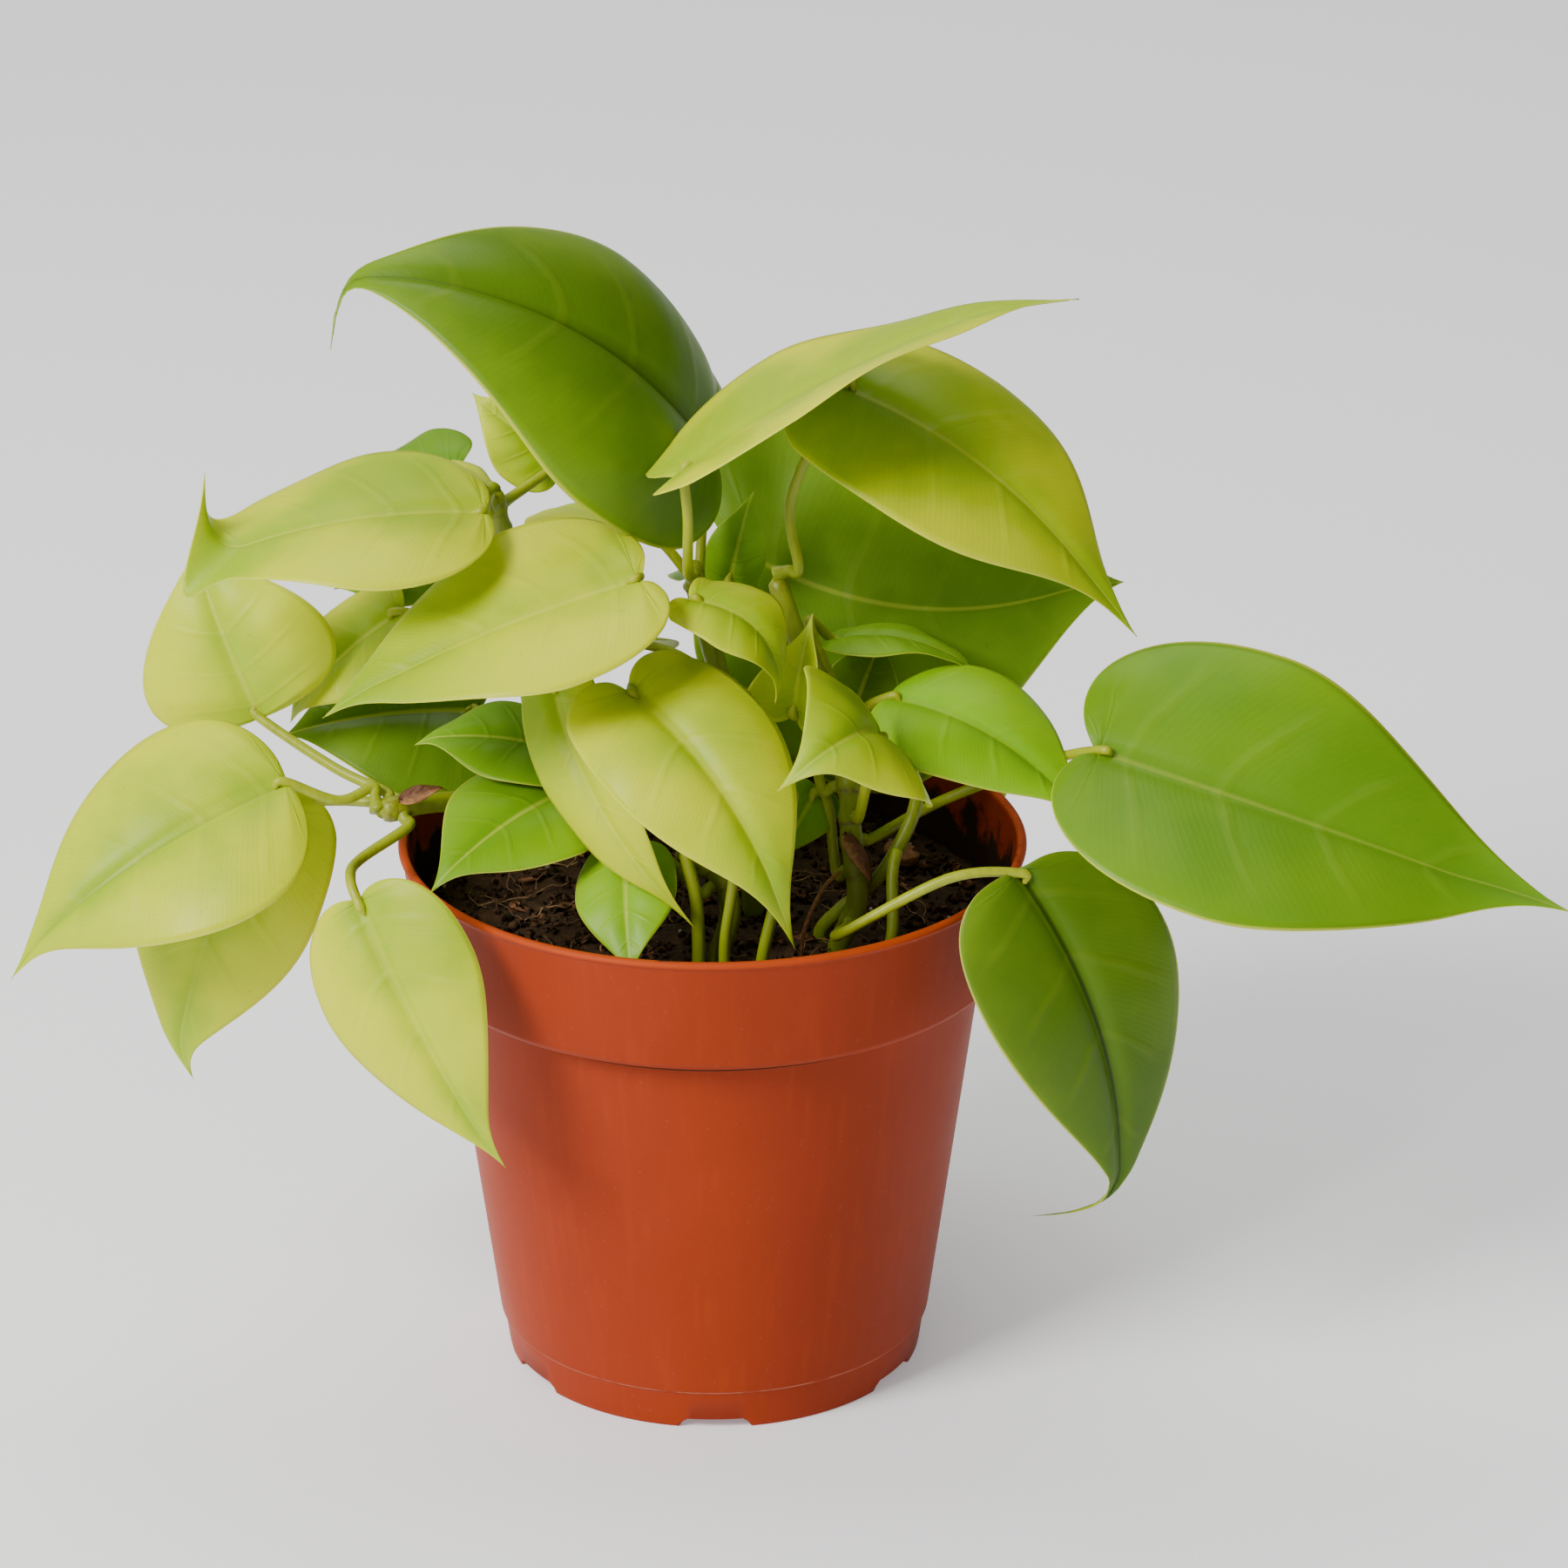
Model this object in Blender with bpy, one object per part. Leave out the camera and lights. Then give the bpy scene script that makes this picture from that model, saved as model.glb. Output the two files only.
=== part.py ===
"""Heartleaf philodendron growing in a plastic nursery pot.

The pot, the soil and every grown organ (stem, leaf with its stalk, bud, dry sheath, root) is one closed
solid of its own. All lengths are metres, +Z is up, and the origin is under the middle of the whole plant,
on the surface that the pot stands on.
"""

import math
from dataclasses import dataclass

import bmesh
import bpy
import numpy as np
from mathutils import Matrix, Vector

MM = 0.001

# Pot
POT_HEIGHT = 98 * MM
RIM_RADIUS = 55 * MM
RIM_BEAD = 0.5 * MM
RIM_BEAD_HEIGHT = 1.4 * MM
BAND_HEIGHT = 21 * MM
BAND_FOOT_RADIUS = 52.2 * MM
BODY_TOP_RADIUS = 47.8 * MM
FOOT_LINE_HEIGHT = 7.5 * MM
FOOT_LINE_RADIUS = 38.3 * MM
FOOT_RADIUS = 37 * MM
FOOT_STEP = 0.4 * MM
WALL = 1.3 * MM
FLOOR_UNDERSIDE = 3 * MM
FLOOR_THICKNESS = 1.8 * MM
FOOT_RING_WIDTH = 3 * MM
POT_SIDES = 40
NOTCH_COUNT = 6
NOTCH_WIDTH = 13 * MM
NOTCH_HEIGHT = 1.8 * MM
NOTCH_SLOPE = 1.2 * MM
DRAIN_RADIUS = 3.5 * MM
DRAIN_INSET = 6 * MM
FLOOR_CORNER = 2 * MM
LIP_CORNER = 0.4 * MM
BAND_CORNER = 0.8 * MM

# Soil
SOIL_BELOW_RIM = 13 * MM
SOIL_CROWN = 1.5 * MM
SOIL_SIDES = 36

# Plant
GAP = 0.3 * MM
STEM_RADIUS = 1.9 * MM
STALK_RADIUS = 1.0 * MM
LEAF_THICKNESS = 0.9 * MM
LEAF_ROWS = 7
LEAF_COLUMNS = 2
STEM_SIDES = 7
STALK_SIDES = 5

# The planting plan below is measured on a pot of this size, and is carried to the pot's own size.
PLAN_RIM_RADIUS = 55 * MM
PLAN_POT_HEIGHT = 98 * MM


@dataclass(frozen=True)
class Stem:
    """A stem or root, in mm: its foot (x, y) on the soil, and the points (x, y, z) that it passes above."""

    name: str
    root: tuple
    route: tuple
    radius: float = STEM_RADIUS / MM


@dataclass(frozen=True)
class Leaf:
    """A leaf and its stalk, in mm and degrees.

    The stalk leaves `stem` at the share `at` of its length, passes through `via` and ends at `base`, the
    notch of the heart. `face` is the side that the upper surface looks to. `arch` bows the midrib towards
    the face and `sweep` bows it sideways, as shares of the length. `cup` raises the margins towards the
    face, `droop` lowers the last quarter of the tip, and `twist` turns the tip about the midrib.
    """

    name: str
    stem: str
    at: float
    via: tuple
    base: tuple
    tip: tuple
    width: float
    face: tuple
    tone: str = "young"
    arch: float = 0.08
    cup: float = -0.1
    sweep: float = 0.0
    droop: float = 0.0
    twist: float = 0.0
    lobe: float = 0.10


STEMS = (
    Stem("stem_right", (22, -22),
         ((25, -22, 95), (24, -18, 106), (23, -12, 116), (17, -2, 130), (11, 3, 146))),
    Stem("stem_left", (-12, 4), ((-22, 0, 98), (-33, -5, 106), (-46, -10, 109), (-58, -14, 109))),
    Stem("stem_center", (1, -27), ((3, -26, 95), (1, -24, 101), (-5, -21, 103))),
    Stem("stem_tall", (7, -6), ((6, -4, 100), (3, 2, 120), (-2, 4, 140), (-3, 4, 147))),
    Stem("stem_upper_left", (-16, 14), ((-24, 16, 104), (-31, 13, 128), (-36, 9, 150), (-38, 8, 160))),
    Stem("stem_back", (8, 24), ((10, 30, 104), (9, 33, 118), (4, 34, 130))),
)

# Shoots that have no leaf of their own above the others.
SHOOTS = (
    Stem("shoot_front_left", (-2.5, -34), ((-2.5, -34, 93), (-3, -33, 101), (-5, -31, 109)), 1.2),
    Stem("shoot_front_middle", (2, -37), ((2, -37, 94), (3, -36, 101), (4, -34, 108)), 1.0),
    Stem("shoot_front_right", (8, -35), ((9, -35, 93), (11, -33, 101), (13, -28, 111), (14, -24, 117)),
         1.1),
    Stem("shoot_right_bow", (19, -16), ((22, -17, 91), (29, -18, 98), (34, -15, 106), (36, -11, 111)), 1.3),
    Stem("shoot_right_inner", (30, -30), ((31, -29, 93), (31, -25, 101), (32, -22, 105)), 1.1),
)

LEAVES = (
    # Crown
    Leaf("leaf_top_left", "stem_tall", 0.85, ((-2, 12, 145),), (-0.8, 18.7, 164.9), (-65.9, 3.6, 202.4),
         56, (-0.2, -0.49, 0.85), tone="old", arch=0.18, cup=-0.27, sweep=-0.01, droop=0.05, lobe=0.07),
    Leaf("leaf_top_right", "stem_tall", 1, ((-4, -10, 152), (-4, -14, 163)), (-4.6, -13.7, 171.6),
         (58.6, -4.2, 200.4), 46, (-0.43, 0.09, 0.9), arch=0.05, cup=0.11, sweep=0.01, droop=0.02,
         lobe=0.09),
    Leaf("leaf_upper_right", "stem_right", 1, ((14, 5, 160),), (23.1, 5.4, 180), (70.7, -11.3, 141.8),
         44, (0.35, -0.45, 0.82), arch=0.13, cup=-0.11, sweep=0.01, droop=-0.02, lobe=0.09),
    Leaf("leaf_back_right", "stem_back", 1, ((7, 34, 138),), (7.3, 29.5, 139.3), (73.4, 25.7, 138.5), 68,
         (0.1, -0.88, 0.46), tone="old", arch=0.03, sweep=0.13, droop=-0.02, lobe=0.14),
    Leaf("leaf_behind_crown", "stem_upper_left", 0.9, ((-32, 16, 158),), (-27, 22, 160), (-42, 24, 172),
         16, (-0.3, -0.7, 0.6)),
    Leaf("leaf_behind_left", "stem_upper_left", 1, ((-41, 18, 160),), (-45, 24, 159), (-63, 30, 153), 20,
         (0, -0.4, 0.9), tone="middle"),
    # Right side
    Leaf("leaf_right_lens", "stem_right", 0.72, ((17, 6, 136),), (21, 8, 132), (47, 2, 128), 20,
         (0.1, 0.1, 1), tone="middle", arch=0.12, lobe=0.05),
    Leaf("leaf_far_right", "stem_right", 0.38, ((40, -6, 107), (58, -12, 117)), (66.6, -23.2, 123.6),
         (143.5, -38.8, 100), 57, (0.05, -0.52, 0.85), tone="middle", arch=0.05, cup=0.12, sweep=0.03,
         droop=-0.07, lobe=0.07),
    Leaf("leaf_rim_right", "stem_right", 0.12, ((22, -38, 96), (40, -40, 107)), (52.4, -38.4, 107.3),
         (70.2, -41.6, 44.6), 39, (0.44, -0.84, 0.31), tone="old", cup=-0.07, sweep=-0.06, lobe=0.02),
    Leaf("leaf_middle_right", "stem_right", 0.55, ((25, -5, 122),), (31, -6.8, 127.1),
         (64.7, -25.1, 111), 33, (0.07, -0.26, 0.96), tone="middle", arch=0.13, cup=-0.09, lobe=0.02),
    Leaf("leaf_behind_middle_right", "stem_right", 0.6, ((22, 4, 119),), (25, 8, 119), (30, 14, 130), 13,
         (0, -0.9, 0.4), tone="old"),
    # Middle
    Leaf("leaf_front", "stem_center", 1, ((-10, -18, 122), (-13, -20, 134)), (-13.7, -26.1, 136.1),
         (13.3, -50.8, 101.2), 32, (0.2, -0.73, 0.66), arch=0.16, cup=-0.12, sweep=-0.02, droop=0.07,
         lobe=0.09),
    Leaf("leaf_twisted", "stem_center", 0.9, ((-14, -12, 118), (-21, -11, 130)), (-27.6, -17.9, 134.4),
         (-4.6, -40, 99.9), 18, (-0.6, -0.75, 0.27), cup=-0.09, sweep=0.04, droop=0.02),
    Leaf("leaf_folded", "stem_right", 0.55, ((17, -8, 122),), (14, -10, 125), (17, -12, 143), 13,
         (-0.3, -0.9, 0.1), cup=1.2),
    Leaf("leaf_front_bent", "stem_right", 0.45, ((27, -22, 119),), (29.2, -26.6, 127.3),
         (13.2, -50.3, 130.3), 32, (0.54, -0.32, 0.78), arch=0.23, cup=-0.09, sweep=0.01, droop=0.08,
         lobe=0.12),
    Leaf("leaf_strap", "stem_tall", 0.85, ((-2, -12, 143),), (-3, -16, 149), (12, -22, 133), 18,
         (0.5, -0.5, 0.8), arch=0.3),
    Leaf("leaf_inner_right", "stem_right", 0.3, ((20, -13, 110),), (18, -11, 111), (12, -17, 101), 11,
         (-0.3, -0.9, 0.3), tone="middle"),
    Leaf("leaf_inner_back", "stem_tall", 0.75, ((4, 14, 134),), (3, 20, 138), (7, 20, 155), 11,
         (0, -0.9, 0.3), tone="middle"),
    # Left side
    Leaf("leaf_left_center", "stem_upper_left", 0.7, ((-20, -2, 148), (-13, -10, 151)),
         (-12.7, -17.4, 153.4), (-65.6, -29.5, 133.9), 42, (-0.11, -0.34, 0.93), arch=0.06, cup=0.03,
         sweep=-0.02, droop=-0.03, lobe=0.06),
    Leaf("leaf_left_upper", "stem_upper_left", 0.95, ((-39, 2, 160),), (-39.1, -4.3, 160.9),
         (-95.6, -8.6, 149.4), 43, (-0.1, -0.2, 0.97), arch=0.11, cup=-0.06, sweep=-0.05, droop=0.06,
         lobe=0.03),
    Leaf("leaf_left_round", "stem_left", 0.95, ((-66, -4, 113),), (-79.3, 2.7, 119.8),
         (-91, 14.3, 148.2), 36, (-0.27, -0.84, 0.47), arch=0.09, cup=-0.13, droop=0.02, lobe=0.01),
    Leaf("leaf_left_low", "stem_left", 1, ((-65, -14, 111),), (-74.1, -14.1, 114.6),
         (-121.4, -22.9, 84.5), 44, (-0.36, -0.6, 0.71), arch=0.1, cup=-0.03, sweep=-0.01, droop=0.01,
         lobe=0.02),
    Leaf("leaf_left_bottom", "stem_left", 0.98, ((-66, -7, 108),), (-78.6, -4.9, 106.5),
         (-95.8, -8.1, 55.7), 35, (-0.28, -0.89, 0.35), arch=0.09, cup=-0.11, sweep=0.01, droop=0.02,
         lobe=0.09),
    Leaf("leaf_rim_left", "stem_left", 0.92, ((-61, -24, 104), (-62, -34, 105)), (-60.5, -38.1, 102.2),
         (-37.2, -54.9, 60.9), 31, (-0.47, -0.81, 0.35), arch=0.05, lobe=0.04),
    Leaf("leaf_over_rim", "stem_center", 0.8, ((-14, -12, 110),), (-25, -14, 113), (-48, -36, 104), 28,
         (-0.3, -0.6, 0.75), tone="middle"),
    Leaf("leaf_inside_rim", "stem_center", 0.6, ((-8, -24, 104),), (-15, -27, 106), (-14, -45, 91), 18,
         (-0.2, -0.85, 0.5), tone="middle"),
    Leaf("leaf_small_left", "stem_left", 0.3, ((-20, -6, 114),), (-26, -8, 118), (-52, -6, 119), 22,
         (-0.1, -0.3, 0.95), tone="middle"),
    Leaf("leaf_left_shade", "stem_left", 0.5, ((-38, 6, 112),), (-42, 20, 114), (-76, 14, 112), 36,
         (0, -0.6, 0.8), tone="old"),
    Leaf("leaf_left_inner", "stem_upper_left", 0.6, ((-44, 12, 134),), (-55, 12, 136), (-75, 8, 117), 22,
         (-0.5, -0.5, 0.6), tone="middle"),
    Leaf("leaf_left_hidden", "stem_upper_left", 0.8, ((-43, 18, 146),), (-46, 24, 146), (-68, 28, 134),
         22, (0, -0.6, 0.7), tone="old"),
    # Back
    Leaf("leaf_back_left", "stem_back", 0.5, ((-6, 36, 118),), (-16, 38, 120), (-58, 58, 104), 42,
         (-0.2, 0.45, 0.85), arch=0.12),
    Leaf("leaf_back_middle", "stem_back", 0.7, ((12, 42, 126),), (14, 48, 128), (20, 92, 98), 48,
         (0.1, 0.5, 0.85), tone="middle", arch=0.12),
    Leaf("leaf_back_low", "stem_back", 0.3, ((24, 42, 108), (32, 56, 108)), (34, 60, 106), (44, 74, 52),
         40, (0.2, 0.9, 0.3), tone="old", lobe=0.15),
    Leaf("leaf_back_high", "stem_back", 0.9, ((-8, 38, 138),), (-14, 42, 140), (-32, 66, 134), 30,
         (-0.2, 0.3, 0.9)),
)

# Dry brown sheaths that new leaves have left on the stems: they have a blade and no stalk.
SHEATHS = (
    Leaf("dry_sheath_right", "stem_right", 0.3, (), (23, -21, 107), (28, -23, 98), 3, (0.2, -0.9, 0.3),
         arch=0.15,
         lobe=0.02),
    Leaf("dry_sheath_left", "stem_left", 0.9, (), (-54, -16, 112), (-46, -15, 114), 3, (0.0, -0.8, 0.6),
         arch=0.1,
         lobe=0.02),
)


@dataclass(frozen=True)
class Chip:
    """A chip of bark lying on the soil: place, turn in degrees, and sizes, in mm."""

    name: str
    place: tuple
    turn: float
    size: tuple


CHIPS = (
    Chip("bark_chip_front", (-27, -34), 25, (8, 4, 1.6)),
    Chip("bark_chip_left", (-38, -20), 70, (6, 4, 1.4)),
    Chip("bark_chip_right", (36, -22), -35, (7, 3, 1.4)),
    Chip("bark_chip_back", (34, 22), 110, (9, 5, 1.8)),
)

ROOTS = (
    Stem("aerial_root", (15, -29), ((16, -28, 93), (19, -26, 99), (22, -22.6, 101)), 0.4),
)

TONES = {
    "young": (0.50, 0.62, 0.04),
    "middle": (0.25, 0.45, 0.02),
    "old": (0.09, 0.22, 0.01),
}


def material(name, color, roughness):
    """Principled material with one colour and no metal."""
    made = bpy.data.materials.new(name)
    made.use_nodes = True
    shader = made.node_tree.nodes["Principled BSDF"]
    shader.inputs["Base Color"].default_value = (*color, 1.0)
    shader.inputs["Roughness"].default_value = roughness
    shader.inputs["Metallic"].default_value = 0.0
    return made


def add_object(name, mesh_data, finish):
    """Puts a mesh into the scene as one smooth-shaded object."""
    obj = bpy.data.objects.new(name, mesh_data)
    bpy.context.scene.collection.objects.link(obj)
    mesh_data.materials.append(finish)
    mesh_data.shade_smooth()
    mesh_data.set_sharp_from_angle(angle=math.radians(40))
    return obj


def mesh_of(name, points, faces):
    """Mesh from points in metres and faces, with coincident points joined and normals facing out."""
    made = bmesh.new()
    verts = [made.verts.new(point) for point in points]
    for face in faces:
        made.faces.new([verts[i] for i in face])
    bmesh.ops.remove_doubles(made, verts=made.verts, dist=1e-6)
    bmesh.ops.recalc_face_normals(made, faces=made.faces)
    data = bpy.data.meshes.new(name)
    made.to_mesh(data)
    made.free()
    return data


def fit_to_pot(points):
    """Carries points of the planting plan, in metres, from the plan's pot to this one."""
    spread = RIM_RADIUS / PLAN_RIM_RADIUS
    return np.asarray(points) * (spread, spread, 1.0) + (0.0, 0.0, POT_HEIGHT - PLAN_POT_HEIGHT)


# ---------------------------------------------------------------- pot and soil


def outer_radius(height):
    """Radius of the pot's body below the band."""
    share = (height - FOOT_LINE_HEIGHT) / (POT_HEIGHT - BAND_HEIGHT - FOOT_LINE_HEIGHT)
    return FOOT_LINE_RADIUS + share * (BODY_TOP_RADIUS - FOOT_LINE_RADIUS)


def pot_profile():
    """Half section of the pot: up the inside from the middle of its floor, over the rim, to the foot."""
    step = POT_HEIGHT - BAND_HEIGHT
    floor_top = FLOOR_UNDERSIDE + FLOOR_THICKNESS
    inner = [
        (0.0, floor_top),
        (outer_radius(floor_top) - WALL - FLOOR_CORNER, floor_top),
        (outer_radius(floor_top + FLOOR_CORNER) - WALL, floor_top + FLOOR_CORNER),
        (BODY_TOP_RADIUS - WALL, step - 2.5 * WALL),
        (BAND_FOOT_RADIUS - WALL, step),
        (RIM_RADIUS - WALL, POT_HEIGHT - LIP_CORNER),
        (RIM_RADIUS - WALL + LIP_CORNER, POT_HEIGHT),
    ]
    outer = [
        (RIM_RADIUS, POT_HEIGHT),
        (RIM_RADIUS + RIM_BEAD, POT_HEIGHT - RIM_BEAD_HEIGHT / 2),
        (RIM_RADIUS - 0.2 * MM, POT_HEIGHT - RIM_BEAD_HEIGHT),
        (BAND_FOOT_RADIUS, step + BAND_CORNER),
        (BAND_FOOT_RADIUS - BAND_CORNER, step - BAND_CORNER / 2),
        (BODY_TOP_RADIUS, step - 2 * BAND_CORNER),
        (FOOT_LINE_RADIUS + FOOT_STEP, FOOT_LINE_HEIGHT + 0.3 * MM),
        (FOOT_LINE_RADIUS - FOOT_STEP / 2, FOOT_LINE_HEIGHT - 0.3 * MM),
        (FOOT_RADIUS, 0.0),
        (FOOT_RADIUS - FOOT_RING_WIDTH, 0.0),
        (FOOT_RADIUS - FOOT_RING_WIDTH - 1 * MM, FLOOR_UNDERSIDE),
        (0.0, FLOOR_UNDERSIDE),
    ]
    return inner + outer


def turned(name, profile, sides):
    """Solid of revolution from a half section that starts and ends on the axis."""
    points = []
    faces = []
    for turn in range(sides):
        angle = 2 * math.pi * turn / sides
        points += [(r * math.cos(angle), r * math.sin(angle), z) for r, z in profile]
    count = len(profile)
    for turn in range(sides):
        here = turn * count
        there = ((turn + 1) % sides) * count
        for i in range(count - 1):
            corners = [here + i, here + i + 1, there + i + 1, there + i]
            if profile[i][0] == 0.0:
                corners.pop(3)
            elif profile[i + 1][0] == 0.0:
                corners.pop(2)
            faces.append(corners)
    return mesh_of(name, points, faces)


def cut(obj, cutters):
    """Takes the cutters out of an object with a Boolean each, and keeps them as hidden guides."""
    for cutter in cutters:
        cutter.hide_render = True
        cutter.display_type = "WIRE"
        change = obj.modifiers.new("cut_" + cutter.name, "BOOLEAN")
        change.operation = "DIFFERENCE"
        change.object = cutter


def notch_cutter(index):
    """Block with sloped ends that leaves a drainage notch across the foot ring."""
    low = NOTCH_WIDTH / 2
    high = low - NOTCH_SLOPE
    inside = FOOT_RADIUS - FOOT_RING_WIDTH - 3 * MM
    outside = FOOT_RADIUS + 4 * MM
    half = [(low, -1 * MM), (low, 0.4 * MM), (high, NOTCH_HEIGHT)]
    section = half + [(-y, z) for y, z in reversed(half)]
    points = [(x, y, z) for x in (inside, outside) for y, z in section]
    count = len(section)
    faces = [list(range(count)), list(range(count, 2 * count))]
    faces += [[i, (i + 1) % count, (i + 1) % count + count, i + count] for i in range(count)]
    cutter = bpy.data.objects.new(f"notch_cutter_{index}", mesh_of("notch_cutter", points, faces))
    cutter.rotation_euler[2] = -math.pi / 2 + index * 2 * math.pi / NOTCH_COUNT
    bpy.context.scene.collection.objects.link(cutter)
    return cutter


TURNED_A_LITTLE = Matrix.Rotation(math.radians(7), 4, "Z")


def drain_cutter(index):
    """Short cylinder that leaves a drain hole in the pot's floor, inward of a notch."""
    angle = -math.pi / 2 + index * 2 * math.pi / NOTCH_COUNT
    reach = FOOT_RADIUS - FOOT_RING_WIDTH - 1 * MM - DRAIN_INSET
    made = bmesh.new()
    bmesh.ops.create_cone(
        made,
        cap_ends=True,
        segments=10,
        matrix=TURNED_A_LITTLE,
        radius1=DRAIN_RADIUS,
        radius2=DRAIN_RADIUS,
        depth=4 * FLOOR_THICKNESS,
    )
    data = bpy.data.meshes.new("drain_cutter")
    made.to_mesh(data)
    made.free()
    cutter = bpy.data.objects.new(f"drain_cutter_{index}", data)
    middle = FLOOR_UNDERSIDE + FLOOR_THICKNESS / 2
    cutter.location = (reach * math.cos(angle), reach * math.sin(angle), middle)
    bpy.context.scene.collection.objects.link(cutter)
    return cutter


def build_pot():
    """Pot with its band, rim bead, foot ring, drainage notches and drain holes."""
    finish = material("terracotta_plastic", (0.50, 0.10, 0.04), 0.5)
    pot = add_object("pot", turned("pot", pot_profile(), POT_SIDES), finish)
    places = range(NOTCH_COUNT)
    cut(pot, [notch_cutter(i) for i in places] + [drain_cutter(i) for i in places])
    return pot


def soil_height(x, y):
    """Height of the soil's surface at a place in the pot: it is a little crowned in the middle."""
    share = min(1.0, math.hypot(x, y) / BODY_TOP_RADIUS)
    return POT_HEIGHT - SOIL_BELOW_RIM + SOIL_CROWN * (1 - share**2)


def build_soil():
    """Soil that fills the pot to just under the band's middle, clear of the plastic by GAP."""
    step = POT_HEIGHT - BAND_HEIGHT
    floor_top = FLOOR_UNDERSIDE + FLOOR_THICKNESS
    level = POT_HEIGHT - SOIL_BELOW_RIM
    band_slope = (RIM_RADIUS - BAND_FOOT_RADIUS) / BAND_HEIGHT
    side = 2 * GAP
    wall_at_level = BAND_FOOT_RADIUS - WALL + band_slope * (level - step)
    profile = [
        (0.0, soil_height(0, 0)),
        (0.5 * BODY_TOP_RADIUS, soil_height(0.5 * BODY_TOP_RADIUS, 0)),
        (BODY_TOP_RADIUS, soil_height(BODY_TOP_RADIUS, 0)),
        (wall_at_level - side, level),
        (BAND_FOOT_RADIUS - WALL - side, step + GAP),
        (BODY_TOP_RADIUS - WALL - side, step - 2.5 * WALL + GAP),
        (outer_radius(floor_top + FLOOR_CORNER) - WALL - side, floor_top + FLOOR_CORNER + GAP),
        (outer_radius(floor_top) - WALL - FLOOR_CORNER - side, floor_top + GAP),
        (0.0, floor_top + GAP),
    ]
    finish = material("potting_soil", (0.03, 0.018, 0.01), 0.95)
    return add_object("soil", turned("soil", profile, SOIL_SIDES), finish)


# ---------------------------------------------------------------- stems and stalks


def smooth_route(points, per_span):
    """Points on a Catmull-Rom curve through the given points."""
    p = [np.asarray(point, float) for point in points]
    p = [2 * p[0] - p[1], *p, 2 * p[-1] - p[-2]]
    route = []
    for i in range(1, len(p) - 2):
        for step in range(per_span):
            t = step / per_span
            route.append(
                0.5
                * (
                    2 * p[i]
                    + (p[i + 1] - p[i - 1]) * t
                    + (2 * p[i - 1] - 5 * p[i] + 4 * p[i + 1] - p[i + 2]) * t**2
                    + (3 * p[i] - p[i - 1] - 3 * p[i + 1] + p[i + 2]) * t**3
                )
            )
    return np.array([*route, p[-2]])


def tube_mesh(name, route, radius, sides):
    """Closed tube of one radius along a route, its rings carried round the bends without twist."""
    route = np.asarray(route, float)
    along = np.gradient(route, axis=0)
    along /= np.linalg.norm(along, axis=1)[:, None]
    across = np.cross(along[0], (0.3, 0.5, 0.8))
    points = []
    for place, direction in zip(route, along):
        across = across - direction * across.dot(direction)
        across /= np.linalg.norm(across)
        other = np.cross(direction, across)
        for i in range(sides):
            angle = 2 * math.pi * i / sides
            points.append(place + radius * (math.cos(angle) * across + math.sin(angle) * other))
    faces = [list(range(sides)), list(range(len(points) - sides, len(points)))]
    for ring in range(len(route) - 1):
        for i in range(sides):
            j = (i + 1) % sides
            here = ring * sides
            faces.append([here + i, here + j, here + j + sides, here + i + sides])
    return mesh_of(name, points, faces)


def stem_route(stem):
    """Route of a stem in metres, from just above the soil."""
    x, y = stem.root
    points = fit_to_pot(np.array([(x, y, 0.0), *stem.route]) * MM)
    points[0, 2] = soil_height(points[0, 0], points[0, 1]) + stem.radius * MM / 2 + GAP
    return smooth_route(points, 2)


def build_stem(stem, finish):
    """One stem as a closed tube."""
    tube = tube_mesh(stem.name, stem_route(stem), stem.radius * MM, STEM_SIDES)
    return add_object(stem.name, tube, finish)


def stalk_start(route, at, towards):
    """Point beside a stem at a share of its length, on the side facing `towards`, and the way out there."""
    place = at * (len(route) - 1)
    index = min(int(place), len(route) - 2)
    spot = route[index] + (place - index) * (route[index + 1] - route[index])
    along = route[index + 1] - route[index]
    along /= np.linalg.norm(along)
    out = towards - spot
    out -= along * out.dot(along)
    out /= np.linalg.norm(out)
    return spot + out * (STEM_RADIUS + 2 * GAP), out


# ---------------------------------------------------------------- leaves


def heart_margin(t, lobe):
    """Margin of one half of a heart leaf, from the notch (t=0) round the lobe to the tip (t=1).

    Gives the distance from the midrib as a share of half the width, and the place along the midrib as a
    share of the length. Two cubic curves meet where the leaf is widest.
    """
    widest = 0.45
    back = ((0.0, 0.0), (0.12, -1.5 * lobe), (1.0, -2.0 * lobe), (1.0, 0.30))
    front = ((1.0, 0.30), (1.0, 0.60), (0.10, 0.82), (0.0, 1.0))
    curve, u = (back, t / widest) if t < widest else (front, (t - widest) / (1 - widest))
    weights = ((1 - u) ** 3, 3 * u * (1 - u) ** 2, 3 * u**2 * (1 - u), u**3)
    return tuple(sum(w * p[i] for w, p in zip(weights, curve)) for i in (0, 1))


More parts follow.
